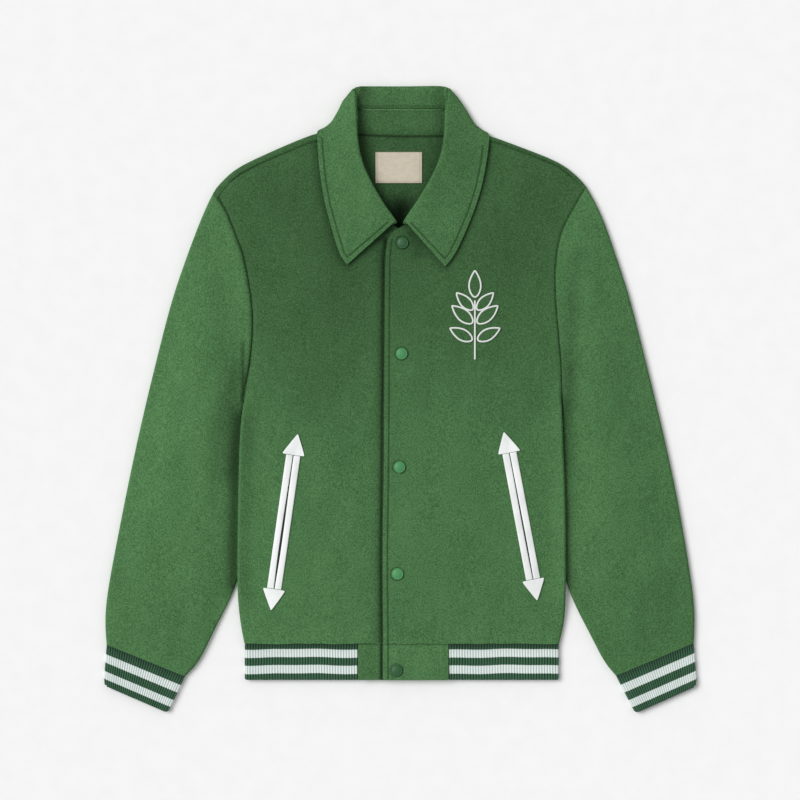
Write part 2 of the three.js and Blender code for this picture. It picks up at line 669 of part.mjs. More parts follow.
// The hem rib: one band from tab to tab round the back, its ribs raised on the front
function hemRib() {
  const radius = BODY_STACK / 2;
  const sides = { right: -190.3, left: 193.9 };
  const outer = [];
  const inner = [];
  const ribs = (from, to) => {
    const count = 2 * Math.round(Math.abs(to - from) / HEM_RIB_PITCH);
    return Array.from({ length: count + 1 }, (_, i) => ({ x: mix(from, to, i / count), low: i % 2 === 0 }));
  };
  for (const y of [HEM_TOP - SEAM_GAP, HEM_BOTTOM]) {
    const outerRow = [];
    const innerRow = [];
    const top = ({ x, low }) => {
      outerRow.push([x, y, BODY_STACK - (low ? RIB_RELIEF : 0)]);
      innerRow.push([x, y, BODY_STACK - CLOTH - RIB_RELIEF]);
    };
    const turnRound = (centre, sign, angles) => {
      for (const degrees of angles) {
        const angle = THREE.MathUtils.degToRad(degrees);
        const small = radius - CLOTH;
        outerRow.push([centre + sign * radius * Math.cos(angle), y, radius + radius * Math.sin(angle)]);
        innerRow.push([centre + sign * small * Math.cos(angle), y, radius + small * Math.sin(angle)]);
      }
    };
    ribs(HEM_TAB_RIGHT - SEAM_GAP, sides.right + radius).forEach(top);
    turnRound(sides.right + radius, -1, [45, 0, -45, -90]);
    for (const x of [-120, -60, 0, 60, 120]) {
      outerRow.push([x, y, 0]);
      innerRow.push([x, y, CLOTH]);
    }
    turnRound(sides.left - radius, 1, [-90, -45, 0, 45]);
    ribs(sides.left - radius, HEM_TAB_LEFT + SEAM_GAP).forEach(top);
    outer.push(outerRow);
    inner.push(innerRow);
  }
  return wallGeometry(outer, inner);
}

addPiece("hem_rib", hemRib(), "rib");

// The hem's self-fabric tabs, in line with the two fronts
function hemTab(from, to, topAt) {
  const outer = [];
  const inner = [];
  for (const y of [HEM_TOP - SEAM_GAP, -319, HEM_BOTTOM]) {
    const xs = Array.from({ length: 8 }, (_, i) => mix(from, to, i / 7));
    outer.push(xs.map((x) => [x, y, topAt(x, y)]));
    inner.push(xs.map((x) => [x, y, topAt(x, y) - CLOTH]));
  }
  return wallGeometry(outer, inner);
}

addPiece("hem_tab_right", hemTab(HEM_TAB_RIGHT, UNDERLAP, rightTop), "wool");
addPiece("hem_tab_left", hemTab(-21.2, HEM_TAB_LEFT, leftTop), "wool");

// The collar and its stand: one skin from the neck seam up to the roll and over it to the fall's
// edge, at each station round the neck, then cut in two at the stand's seam.
function collarSkin() {
  const stations = [
    ...COLLAR_RIGHT.map((row) => ({ ...row, side: -1 })),
    { ...COLLAR_BACK, side: 0 },
    ...COLLAR_LEFT.toReversed().map((row) => ({ ...row, side: 1 })),
  ];
  return stations.map((row) => {
    const away = new THREE.Vector3(row.side * (1 - row.turn), -row.turn, 0).normalize();
    const centre = new THREE.Vector3(row.rollX, row.rollY, row.rollZ - ROLL_RADIUS);
    centre.addScaledVector(away, ROLL_RADIUS);
    const neckTop = (row.side < 0 ? rightTop : leftTop)(row.neckX, Math.min(row.neckY, 322)) + REST_GAP;
    const neckZ = mix(neckTop, NECK_RISE + CLOTH, smooth(row.turn));
    const neck = new THREE.Vector3(row.neckX, row.neckY, neckZ);
    const edge = new THREE.Vector3(row.edgeX, row.edgeY, row.edgeZ);
    const neckSide = new THREE.Vector3(-row.side * (1 - row.turn), 0, row.turn);
    const turned = row.turn * Math.PI;
    const corner = new THREE.Vector3(row.side * CORNER_OUT.x, CORNER_OUT.y, 0);
    corner.multiplyScalar(Math.sin(turned));
    const outSide = corner.clone().setZ(Math.cos(turned));
    const legs = [neck, edge].map((end) => end.clone().sub(centre).normalize());
    const [neckNormal, edgeNormal] = [neckSide, outSide].map((reference, i) =>
      reference.clone().addScaledVector(legs[i], -reference.dot(legs[i])).normalize(),
    );
    const top = legs[0].clone().add(legs[1]).negate().normalize();
    const arc = [
      neckNormal,
      neckNormal.clone().add(top).normalize(),
      top,
      top.clone().add(edgeNormal).normalize(),
      edgeNormal,
    ].map((normal) => centre.clone().addScaledVector(normal, ROLL_RADIUS));
    const fall = FALL_LINES.map(({ share, waist }) => {
      const point = arc.at(-1).clone().lerp(edge, share).addScaledVector(corner, -waist);
      return point.setZ(mix(edge.z, arc.at(-1).z, (1 - share) ** 1.7));
    });
    return [neck, neck.clone().lerp(arc[0], STAND_SHARE), ...arc, ...fall];
  });
}

// The wall's other face, inwards from the first along its normals
function offsetSkin(skin, distance) {
  const rows = skin.length - 1;
  const columns = skin[0].length - 1;
  return skin.map((row, r) =>
    row.map((point, c) => {
      const along = skin[Math.min(rows, r + 1)][c].clone().sub(skin[Math.max(0, r - 1)][c]);
      const across = row[Math.min(columns, c + 1)].clone().sub(row[Math.max(0, c - 1)]);
      return point.clone().addScaledVector(along.cross(across).normalize(), distance);
    }),
  );
}

function collarPiece(from, to) {
  const skin = collarSkin();
  const under = offsetSkin(skin, -COLLAR_CLOTH);
  const cut = (grid) =>
    grid.map((row) => {
      const points = row.slice(from, to + 1).map((point) => point.clone());
      const near = (index, next) => {
        const step = row[next].clone().sub(row[index]);
        return row[index].clone().addScaledVector(step.normalize(), SEAM_GAP / 2);
      };
      if (from > 0) points[0] = near(from, from + 1);
      if (to < row.length - 1) points[points.length - 1] = near(to, to - 1);
      return points.map((point) => point.toArray());
    });
  return wallGeometry(cut(skin), cut(under));
}

addPiece("collar_stand", collarPiece(0, 1), "wool");
addPiece("collar", collarPiece(1, 6 + FALL_LINES.length), "wool");

// A thin plate that lies on a face: its outline and middle follow the face
function plate(outline, faceAt, gap, thickness) {
  const count = outline.length;
  const middle = [0, 1].map((axis) => outline.reduce((sum, point) => sum + point[axis] / count, 0));
  const plan = [...outline, middle];
  const layer = (height) => plan.map(([x, y]) => [x, y, faceAt(x, y) + height]);
  const positions = [...layer(gap), ...layer(gap + thickness)].flat();
  const faces = [];
  const top = count + 1;
  for (let i = 0; i < count; i++) {
    const next = (i + 1) % count;
    faces.push(count, next, i, top + count, top + i, top + next);
    faces.push(i, next, top + next, i, top + next, top + i);
  }
  return finishGeometry(positions, faces);
}

// Neck label, on the inside of the back
const labelMiddle = { x: -1.9, y: 283.6 };
const ROUND_SQUARE = [[-1, -1], [0, -1], [1, -1], [1, 0], [1, 1], [0, 1], [-1, 1], [-1, 0]];
const labelOutline = ROUND_SQUARE.map(([i, j]) => [
  labelMiddle.x + (i * LABEL_SIZE.width) / 2,
  labelMiddle.y + (j * LABEL_SIZE.height) / 2,
]);
const insideBack = (x, y) => bodyRise(x, y) + CLOTH;
addPiece("neck_label", plate(labelOutline, insideBack, REST_GAP, LABEL_SIZE.thickness), "label");

// Pockets: two welts along the slit and an arrowhead past each end
const WELT_PROFILE = table("out height", [
  [0, 0.6],
  [0.15, 1],
  [0.85, 1],
  [1, 0.6],
]);
for (const pocket of POCKETS) {
  const faceAt = pocket.name === "right" ? onFrontRight : onFrontLeft;
  const run = [pocket.footX - pocket.topX, pocket.footY - pocket.topY];
  const length = Math.hypot(...run);
  const along = run.map((value) => value / length);
  const across = [-along[1], along[0]];
  const at = (down, out) => [
    pocket.topX + along[0] * down + across[0] * out,
    pocket.topY + along[1] * down + across[1] * out,
  ];
  for (const [welt, sign] of [["left", 1], ["right", -1]]) {
    const outer = [];
    const inner = [];
    for (let i = 0; i <= WELT_ROWS; i++) {
      const share = i / WELT_ROWS;
      const half = mix(SLIT_HALF, pocket.gape, Math.sin(Math.PI * share ** 1.8));
      const row = WELT_PROFILE.map(({ out, height }) => {
        const plan = at(length * share, mix(half, SLIT_HALF + WELT_WIDTH, out) * sign);
        return { plan, foot: faceAt(...plan) + REST_GAP, height: height * WELT_HEIGHT };
      });
      outer.push(row.map(({ plan, foot, height }) => [...plan, foot + height]));
      inner.push(row.map(({ plan, foot }) => [...plan, foot]));
    }
    addPiece(`pocket_${pocket.name}_welt_${welt}`, wallGeometry(outer, inner), "leather");
  }
  const ends = [["top", -SEAM_GAP, -1, pocket.lean], ["bottom", length + SEAM_GAP, 1, 0]];
  for (const [end, start, sign, lean] of ends) {
    const tip = [start + sign * ARROW_HEIGHT, lean];
    const corners = [[start, -ARROW_BASE / 2], [start, ARROW_BASE / 2], tip];
    const outline = corners.flatMap((corner, i) => {
      const before = corners[(i + 2) % 3];
      const after = corners[(i + 1) % 3];
      const step = (to) =>
        mixPoint(corner, to, ARROW_CORNER / distance(to, corner));
      const [a, b] = [step(before), step(after)];
      return [a, mixPoint(corner, mixPoint(a, b, 0.5), 0.45), b];
    });
    const head = plate(outline.map(([down, out]) => at(down, out)), faceAt, REST_GAP, WELT_HEIGHT);
    addPiece(`pocket_${pocket.name}_arrow_${end}`, head, "leather");
  }
}

// Snaps: domed caps on the placket
const SNAP_PROFILE = [[0, 0], [1, 0], [1, 0.25], [0.93, 0.5], [0.72, 0.78], [0.4, 0.94], [0, 1]];
for (const [i, { x, y }] of SNAPS.entries()) {
  const profile = SNAP_PROFILE.map(([r, h]) => new THREE.Vector2(r * SNAP_RADIUS, h * SNAP_HEIGHT));
  const lathe = new THREE.LatheGeometry(profile, SNAP_SIDES);
  const cap = mergeVertices(lathe.deleteAttribute("normal").deleteAttribute("uv"));
  cap.rotateX(Math.PI / 2);
  cap.translate(x, y, leftTop(x, y) + REST_GAP);
  addPiece(`snap_${i + 1}`, cap, "snap");
}

// The chest sprig: a top leaf and three pairs below it, cut from the body's cloth and applied
const SPRIG = { x: 91, y: 55, stem: 64, leaf: 34, width: 15, thickness: 1.2 };
const LEAVES = table("name up lean size", [
  ["top", 66, 0, 1],
  ["right_1", 16, 62, 0.94],
  ["left_1", 16, -62, 0.94],
  ["right_2", 36, 50, 1],
  ["left_2", 36, -50, 1],
  ["right_3", 52, 44, 0.88],
  ["left_3", 52, -44, 0.88],
]);

function leafOutline({ up, lean, size }) {
  const angle = THREE.MathUtils.degToRad(lean);
  const shares = [0.04, 0.18, 0.36, 0.55, 0.74, 0.9, 1];
  const half = (share) => (SPRIG.width / 2) * size * Math.sin(Math.PI * share ** 0.85) ** 0.9;
  const side = (sign) => shares.slice(0, -1).map((share) => [share, sign * half(share)]);
  return [...side(1), [1, 0], ...side(-1).reverse()].map(([share, out]) => {
    const forward = 2.6 + SPRIG.leaf * size * share;
    return [
      SPRIG.x + forward * Math.sin(angle) + out * Math.cos(angle),
      SPRIG.y + up + forward * Math.cos(angle) - out * Math.sin(angle),
    ];
  });
}

for (const leaf of LEAVES) {
  const applied = plate(leafOutline(leaf), onFrontLeft, REST_GAP, SPRIG.thickness);
  addPiece(`sprig_leaf_${leaf.name}`, applied, "wool");
}

export default jacket;
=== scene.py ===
"""Dresses the varsity jacket: brushed wool, rib knit, leather pockets, snaps and a chest sprig.

The jacket lies flat on a pale floor with its fronts up. Each piece of cloth starts as the cage of
its CAD solid, is made finer and softer, and then takes the folds of the layer that it lies in.
Sizes are in millimetres unless a name says otherwise, and Blender's meshes are in metres.
"""

import logging
import math
from dataclasses import dataclass, field
from enum import Enum
from typing import Any, Callable, Sequence

import bmesh
import bpy
import numpy as np
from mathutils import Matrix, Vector
from mathutils.bvhtree import BVHTree
from mathutils.geometry import convex_hull_2d


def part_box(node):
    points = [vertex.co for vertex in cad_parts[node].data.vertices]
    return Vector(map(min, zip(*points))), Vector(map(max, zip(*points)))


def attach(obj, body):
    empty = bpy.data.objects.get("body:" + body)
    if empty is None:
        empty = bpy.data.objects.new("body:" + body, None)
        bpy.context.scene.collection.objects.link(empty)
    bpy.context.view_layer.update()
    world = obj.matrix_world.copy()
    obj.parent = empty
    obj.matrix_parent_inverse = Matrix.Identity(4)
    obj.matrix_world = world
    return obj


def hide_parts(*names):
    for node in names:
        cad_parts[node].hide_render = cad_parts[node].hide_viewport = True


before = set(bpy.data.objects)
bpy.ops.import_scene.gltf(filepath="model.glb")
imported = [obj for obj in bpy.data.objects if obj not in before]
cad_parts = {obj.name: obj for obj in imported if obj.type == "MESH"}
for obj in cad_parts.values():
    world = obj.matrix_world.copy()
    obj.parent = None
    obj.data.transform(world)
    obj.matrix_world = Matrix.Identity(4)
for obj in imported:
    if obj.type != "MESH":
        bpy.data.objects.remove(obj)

log = logging.getLogger("jacket")

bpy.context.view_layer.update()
MM = 0.001
ROOT = "root"
SHADE = "shade"
RIB_PHASE = "rib_phase"
RIB_DOWN = "rib_down"
HEM_Y = -297.0
SNAP_DENT = 8.0
TOP_LAYER = 1.5
UNDER_LAYER = 6.0
LAYER_BLEND = 4.5
FLOOR_BLEND = 5.0

Array = np.ndarray
Point = tuple[float, float]
Path = tuple[Point, ...]
BMesh = bmesh.types.BMesh
Object = bpy.types.Object
Material = bpy.types.Material


class Side(Enum):
    """The wearer's sides, with the sign of x."""

    RIGHT = -1
    LEFT = 1

    @property
    def word(self) -> str:
        """The side's name as node names have it."""
        return self.name.lower()


class Lift(Enum):
    """How a piece follows the folds of the layer under it."""

    WHOLE = "whole"
    UPPER = "upper"
    UNDER = "under"
    STILL = "still"


def linear(red: int, green: int, blue: int) -> tuple[float, float, float, float]:
    """A screen colour as the linear one that shaders take.

    Args:
        red: Red, 0 to 255.
        green: Green, 0 to 255.
        blue: Blue, 0 to 255.

    Returns:
        The linear colour with full alpha.
    """
    shares = [channel / 255 for channel in (red, green, blue)]
    lit = [c / 12.92 if c <= 0.04045 else ((c + 0.055) / 1.055) ** 2.4 for c in shares]
    return (*lit, 1.0)


def smooth(values: Array | float) -> Array:
    """A soft step from 0 to 1 over values from 0 to 1."""
    share = np.clip(values, 0, 1)
    return share * share * (3 - 2 * share)


def measure_path(plan: Array, path: Sequence[Point]) -> tuple[Array, Array]:
    """How far points are from a path, and where along it.

    Args:
        plan: Points, one row each, x and y.
        path: The path's corners.

    Returns:
        The distances from the path and the lengths along it.
    """
    corners = np.asarray(path, dtype=float)
    away = np.full(len(plan), np.inf)
    along = np.zeros(len(plan))
    walked = 0.0
    for start, end in zip(corners[:-1], corners[1:]):
        leg = end - start
        length = float(np.hypot(*leg))
        share = np.clip(((plan - start) @ leg) / length**2, 0, 1)
        gap = np.linalg.norm(plan - start - share[:, None] * leg, axis=1)
        nearer = gap < away
        away[nearer] = gap[nearer]
        along[nearer] = walked + share[nearer] * length
        walked += length
    return away, along


def walk_path(path: Sequence[Point], pitch: float, skip: float = 0.0) -> list[tuple[Array, Array]]:
    """Evenly spaced places on a path.

    Args:
        path: The path's corners.
        pitch: The distance between two places.
        skip: How far in from each end the places begin.

    Returns:
        The places, each with the path's direction there.
    """
    corners = np.asarray(path, dtype=float)
    legs = np.diff(corners, axis=0)
    lengths = np.hypot(legs[:, 0], legs[:, 1])
    ends = np.concatenate([[0.0], np.cumsum(lengths)])
    places = []
    for at in np.arange(skip, ends[-1] - skip + 1e-6, pitch):
        index = min(int(np.searchsorted(ends, at, side="right")) - 1, len(legs) - 1)
        way = legs[index] / lengths[index]
        places.append((corners[index] + way * (at - ends[index]), way))
    return places


@dataclass(frozen=True)
class Fold:
    """A soft ridge, or a trough where its height is negative."""

    path: Path
    width: float
    height: float

    def heights(self, plan: Array) -> Array:
        """The fold's height at each point."""
        away, _ = measure_path(plan, self.path)
        return self.height * np.exp(-((away / self.width) ** 2))


@dataclass(frozen=True)
class Puckers:
    """The small gathers that a seam draws up beside it."""

    path: Path
    pitch: float
    reach: float
    height: float

    def heights(self, plan: Array) -> Array:
        """The gathers' height at each point."""
        away, along = measure_path(plan, self.path)
        turn = 2 * math.pi * along / self.pitch
        wave = np.sin(turn + 1.4 * np.sin(turn / 3.7)) * (0.6 + 0.4 * np.sin(turn / 5.3 + 1))
        return self.height * wave * np.exp(-away / self.reach)


@dataclass(frozen=True)
class Shade:
    """A soft band of painted shade, where the cloth lies in shadow or turns from the light."""

    path: Path
    width: float
    depth: float
    below: float = math.inf

    def values(self, points: Array) -> Array:
        """How dark each point is, from 0 to 1."""
        away, _ = measure_path(points[:, :2], self.path)
        return self.depth * np.exp(-((away / self.width) ** 2)) * (points[:, 2] < self.below)


def shade_values(shades: Sequence[Shade], points: Array) -> Array:
    """The shades laid over one another.

    Args:
        shades: The bands.
        points: Points on the CAD solid.

    Returns:
        How dark each point is, from 0 to 1.
    """
    light = np.ones(len(points))
    for shade in shades:
        light *= 1 - shade.values(points)
    return 1 - light


BODY_EDGE_RIGHT: Path = (
    (-190.5, -297), (-196, -268), (-198.9, -228), (-198.1, -139), (-196.1, -52), (-191.9, -3),
    (-188.9, 16), (-184.2, 44), (-181.2, 74), (-180.6, 102), (-182.8, 127), (-187, 152.3),
    (-192.6, 178.5), (-201.9, 202.8), (-211.3, 227), (-222.4, 246.1), (-228.1, 253.2),
)
BODY_EDGE_LEFT: Path = (
    (194.2, -297), (200.9, -268), (201.8, -228), (201.8, -139), (198.6, -52), (196.8, -3),
    (196.5, 18), (195.8, 46), (193.2, 76), (190.6, 104), (188.9, 130), (188.7, 156),
    (190.8, 181), (196, 204), (204.1, 221.4), (223.3, 255.3), (226.6, 260.8),
)
SHOULDER_EDGE: Path = (
    (-228.1, 253.2), (-210.1, 274.6), (-193, 286.6), (-133.1, 314), (-97.1, 327.4), (-76, 332),
    (77, 332), (99.3, 326.4), (135.3, 313.1), (195.2, 289.1), (212.3, 276.3), (226.6, 260.8),
)
HEM_SEAM: Path = ((-194, -297), (194, -297))
SLEEVE_OUTER_RIGHT: Path = (
    (-228.1, 253.2), (-254.2, 193.4), (-276.7, 129.9), (-316.3, -27.1), (-344.4, -163.7),
    (-360.3, -249.1), (-361.6, -279.6), (-358.8, -297.9),
)
SLEEVE_OUTER_LEFT: Path = (
    (226.4, 260.7), (247.1, 223.3), (278.8, 129.9), (318.1, -27.1), (346.1, -163.7),
    (358.9, -249.1), (360.9, -272), (358.4, -295.9),
)
SLEEVE_INNER_RIGHT: Path = (
    (-196, -3.4), (-197, -50), (-199, -139), (-199, -228), (-231.9, -292.8), (-262.2, -337.3),
)
SLEEVE_INNER_LEFT: Path = (
    (200, -3.4), (200, -50), (202, -139), (203, -228), (231.4, -285.7), (262.8, -336.4),
)
CUFF_SEAM_RIGHT: Path = ((-358.8, -297.9), (-262.2, -337.3))
CUFF_SEAM_LEFT: Path = ((358.4, -295.9), (262.8, -336.4))


@dataclass(frozen=True)
class Drape:
    """The folds of one part of the garment, from its edges in."""

    edges: tuple[Path, ...]
    crown: float
    reach: float
    folds: tuple[Fold, ...]
    gathers: tuple[Puckers, ...]
    ripple: float

    def heights(self, plan: Array) -> Array:
        """How far the layer stands off the CAD solid's face.

        Args:
            plan: Points, one row each, x and y.

        Returns:
            One height for each point, never below zero.
        """
        away = np.min([measure_path(plan, edge)[0] for edge in self.edges], axis=0)
        held = smooth(away / self.reach)
        x, y = plan.T
        wave = (
            np.sin(x / 19 + y / 83 + 0.6)
            + np.sin(x / 31 - y / 47 + 2.1)
            + 0.7 * np.sin(x / 11 + y / 29)
            + 0.5 * np.sin(y / 17 - x / 53)
        )
        height = self.crown * held + self.ripple * wave * held
        for fold in self.folds:
            height += fold.heights(plan) * smooth(away / 14)
        for gather in self.gathers:
            height += gather.heights(plan) * smooth(away / 3)
        neck = smooth((262 - y) / 50) + smooth((np.abs(x) - 118) / 30)
        return np.maximum(height, 0) * np.clip(neck, 0, 1)


BODY_DRAPE = Drape(
    edges=(BODY_EDGE_RIGHT, BODY_EDGE_LEFT, SHOULDER_EDGE, HEM_SEAM),
    crown=4.2,
    reach=62,
    folds=(
        Fold(((-142, 262), (-140, 205), (-128, 150)), 24, -1.6),
        Fold(((166, 262), (160, 215), (146, 160)), 24, -1.6),
        Fold(((-186, 10), (-160, -26), (-128, -60)), 15, -1.5),
        Fold(((-178, 40), (-140, 22), (-104, 30)), 20, 1.1),
        Fold(((192, 14), (166, -22), (136, -52)), 15, -1.5),
        Fold(((-60, -270), (-66, -200), (-74, -130)), 16, -1.1),
        Fold(((-112, -284), (-104, -240), (-106, -196)), 13, -0.9),
        Fold(((88, -282), (82, -232), (90, -180)), 14, -1.0),
        Fold(((176, -282), (170, -236), (174, -190)), 11, -0.9),
        Fold(((44, 150), (40, 60), (46, -40), (40, -150)), 13, -0.9),
        Fold(((-40, 140), (-44, 40), (-38, -80), (-42, -180)), 14, -0.8),
        Fold(((-100, 130), (-92, 60), (-100, -10)), 22, 0.9),
        Fold(((104, 140), (112, 60), (100, -30)), 24, 0.8),
    ),
    gathers=(Puckers(HEM_SEAM, 17, 16, 0.55),),
    ripple=0.16,
)
SLEEVE_DRAPES = {
    Side.RIGHT: Drape(
        edges=(SLEEVE_OUTER_RIGHT, BODY_EDGE_RIGHT[4:], SLEEVE_INNER_RIGHT, CUFF_SEAM_RIGHT),
        crown=5.2, reach=58,
        folds=(
            Fold(((-204, 6), (-216, -50), (-222, -120)), 12, -1.8),
            Fold(((-194, 70), (-196, 34), (-197, -2)), 5, -2.2),
            Fold(((-206, 60), (-232, 30), (-256, -20)), 16, -1.5),
            Fold(((-236, 190), (-228, 140), (-214, 96)), 16, -1.3),
            Fold(((-262, 90), (-284, 40), (-288, -20)), 20, 1.0),
            Fold(((-330, -150), (-300, -184), (-262, -196)), 14, -1.2),
            Fold(((-344, -226), (-322, -262), (-318, -300)), 12, -1.4),
            Fold(((-296, -226), (-294, -272), (-298, -306)), 11, -1.2),
            Fold(((-254, -236), (-268, -280), (-276, -318)), 9, -1.1),
        ),
        gathers=(Puckers(CUFF_SEAM_RIGHT, 13, 15, 0.7), Puckers(BODY_EDGE_RIGHT[4:], 19, 9, 0.35)),
        ripple=0.18,
    ),
    Side.LEFT: Drape(
        edges=(SLEEVE_OUTER_LEFT, BODY_EDGE_LEFT[4:], SLEEVE_INNER_LEFT, CUFF_SEAM_LEFT), crown=5.2,
        reach=58,
        folds=(
            Fold(((217, 174), (211, 137), (202, 35)), 12, -1.9),
            Fold(((208, -10), (218, -70), (224, -130)), 12, -1.7),
            Fold(((214, 48), (242, 16), (262, -30)), 17, -1.4),
            Fold(((268, 96), (288, 36), (296, -40)), 20, 1.0),
            Fold(((338, -160), (306, -178), (270, -206)), 14, -1.2),
            Fold(((348, -220), (330, -256), (322, -298)), 12, -1.4),
            Fold(((300, -230), (300, -270), (304, -308)), 11, -1.2),
            Fold(((256, -232), (270, -280), (278, -320)), 9, -1.1),
        ),
        gathers=(Puckers(CUFF_SEAM_LEFT, 13, 15, 0.7), Puckers(BODY_EDGE_LEFT[4:], 19, 9, 0.35)),
        ripple=0.18,
    ),
}
BODY_SHADES: tuple[Shade, ...] = (
    Shade(((40, -300), (40, 300)), 260, 0.08),
    Shade(((-150, 235), (150, 235)), 225, 0.38),
    Shade(((-60, 200), (-84, 120), (-96, 20)), 46, 0.13),
    Shade(((-150, 60), (-120, -40)), 60, 0.06),
    Shade(((60, 130), (80, 20)), 50, 0.05),
    Shade(((110, -150), (60, -260)), 120, 0.07),
    Shade(((-3, 222), (3, 222)), 9, 0.85),
    Shade(((14, 200), (21, 178)), 8, 0.32),
)
ARMHOLE_RIGHT: Path = BODY_EDGE_RIGHT[5:]
ARMHOLE_LEFT: Path = BODY_EDGE_LEFT[5:]
SLEEVE_SHADES = {
    Side.RIGHT: (
        Shade(((-197, -20), (-201, -60), (-203, -139), (-204, -228)), 9, 0.62),
        Shade(((-192.5, 70), (-192.2, 34), (-191.6, 2)), 2.6, 0.5),
        Shade(((-200, 30), (-207, -20), (-208, -90)), 14, 0.34),
        Shade(((-208, 60), (-222, 0), (-226, -80)), 16, 0.12),
        Shade(((-236, 190), (-228, 140), (-214, 96)), 16, 0.1),
        Shade(ARMHOLE_RIGHT, 1.7, 0.6),
        Shade(((-330, -240), (-270, -300)), 90, 0.1),
    ),
    Side.LEFT: (
        Shade(((200, -3), (203, -139), (204, -228)), 8, 0.32),
        Shade(((206, 40), (203, -10), (205, -80)), 12, 0.16),
        Shade(((219, 178), (213, 140), (205, 50), (206, -10)), 10, 0.22),
        Shade(((262, 60), (282, -40)), 26, 0.08),
        Shade(ARMHOLE_LEFT, 1.0, 0.5),
        Shade(((250, 150), (320, -250)), 170, 0.13),
        Shade(((330, -240), (270, -300)), 90, 0.08),
    ),
}
NECK_SHADES: tuple[Shade, ...] = (
    Shade(((-26, 318), (26, 318), (0, 235)), 40, 0.14),
    Shade(((0, 205), (0, 233)), 17, 0.97),
    Shade(((-52, 345), (-50, 300), (-38, 262), (-14, 222)), 12, 0.42),
    Shade(((52, 345), (50, 300), (38, 262), (14, 222)), 10, 0.3),
    Shade(((-54, 323.4), (0, 321.4), (56, 322)), 1.8, 0.65),
)
SHOULDER_SEAM_RIGHT: Path = (
    (-220, 250), (-217, 255), (-213, 260), (-207, 267), (-194, 276), (-176, 286), (-158, 294),
    (-139, 302), (-120, 310), (-104, 316), (-88, 319), (-71, 322),
)
SHOULDER_SEAM_LEFT: Path = (
    (72, 322), (88, 321), (104, 317), (120, 313), (139, 306), (158, 299), (176, 292), (194, 284),
    (206, 274), (213, 268), (217, 263), (221, 259),
)
SHOULDER_SHADES: tuple[Shade, ...] = (
    Shade(SHOULDER_SEAM_RIGHT[3:], 1.5, 0.42),
    Shade(SHOULDER_SEAM_LEFT[:-3], 1.5, 0.42),
)
INNER_COLLAR = 8.0
COLLAR_SEAM: Path = ((-56, 354.9), (0, 355), (56, 354.9))
COLLAR_SHADES: tuple[Shade, ...] = (
    Shade(((-75, 200), (-88, 300)), 80, 0.12),
    Shade(((70, 200), (88, 300)), 80, 0.18),
    Shade(((-48, 388), (-50, 330)), 13, 0.5, INNER_COLLAR),
    Shade(((52, 388), (54, 330)), 10, 0.35, INNER_COLLAR),
    Shade(COLLAR_SEAM, 1.6, 0.75, INNER_COLLAR),
    Shade(((-56, 358.4), (0, 358.8), (56, 358.4)), 1.2, 0.35, INNER_COLLAR),
    Shade(((-30, 366), (34, 366)), 16, 0.16, INNER_COLLAR),
)
STAND_SHADES: tuple[Shade, ...] = (
    Shade(((-60, 340), (60, 340)), 60, 0.28),
    Shade(COLLAR_SEAM, 1.8, 0.75),
    Shade(((-54, 323.4), (0, 321.4), (56, 322)), 1.8, 0.7),
    Shade(((-54, 327), (0, 325), (56, 325.6)), 5, 0.2),
    Shade(((-50, 356), (-50, 320)), 12, 0.35),
    Shade(((53, 356), (53, 320)), 10, 0.3),
)
UNDER_FOLDS: tuple[Fold, ...] = (
    Fold(((-150, 236), (-100, 150), (-60, 40)), 11, 0.9),
    Fold(((140, 226), (110, 120), (96, 0)), 12, 0.8),
    Fold(((-20, -250), (-34, -150), (-22, -40)), 12, 0.9),
    Fold(((90, -250), (84, -170), (100, -90)), 10, 0.8),
    Fold(((-130, -240), (-120, -180), (-132, -110)), 10, 0.8),
    Fold(((-240, 120), (-262, 20), (-280, -90)), 10, 0.9),
    Fold(((250, 130), (268, 10), (290, -100)), 10, 0.9),
    Fold(((-330, -180), (-300, -220), (-280, -290)), 9, 0.8),
    Fold(((334, -170), (310, -220), (284, -290)), 9, 0.8),
)


class Signal:
    """An output socket that takes part in Python expressions."""

    def __init__(self, shader: "Shader", socket: bpy.types.NodeSocket) -> None:
        """Wraps a socket of a shader's node."""
        self.shader = shader
        self.socket = socket

    def _math(self, operation: str, first: Any, second: Any) -> "Signal":
        """Adds a Math node for one operation."""
        return self.shader.node("ShaderNodeMath", {"operation": operation}, {0: first, 1: second})

    def __add__(self, other: Any) -> "Signal":
        """This plus other."""
        return self._math("ADD", self, other)

    __radd__ = __add__

    def __sub__(self, other: Any) -> "Signal":
        """This less other."""
        return self._math("SUBTRACT", self, other)

    def __rsub__(self, other: Any) -> "Signal":
        """Other less this."""
        return self._math("SUBTRACT", other, self)

    def __mul__(self, other: Any) -> "Signal":
        """This times other."""
        return self._math("MULTIPLY", self, other)

    __rmul__ = __mul__

    def __truediv__(self, other: Any) -> "Signal":
        """This over other."""
        return self._math("DIVIDE", self, other)

    def cosine(self) -> "Signal":
        """The cosine of this."""
        return self._math("COSINE", self, 0.0)

    def sine(self) -> "Signal":
        """The sine of this."""
        return self._math("SINE", self, 0.0)

    def size(self) -> "Signal":
        """This without its sign."""
        return self._math("ABSOLUTE", self, 0.0)

    def step(self, start: float, end: float) -> "Signal":
        """A soft step from 0 at start to 1 at end."""
        return self.shader.node(
            "ShaderNodeMapRange", {"interpolation_type": "SMOOTHSTEP"},
            {0: self, 1: start, 2: end, 3: 0.0, 4: 1.0},
        )


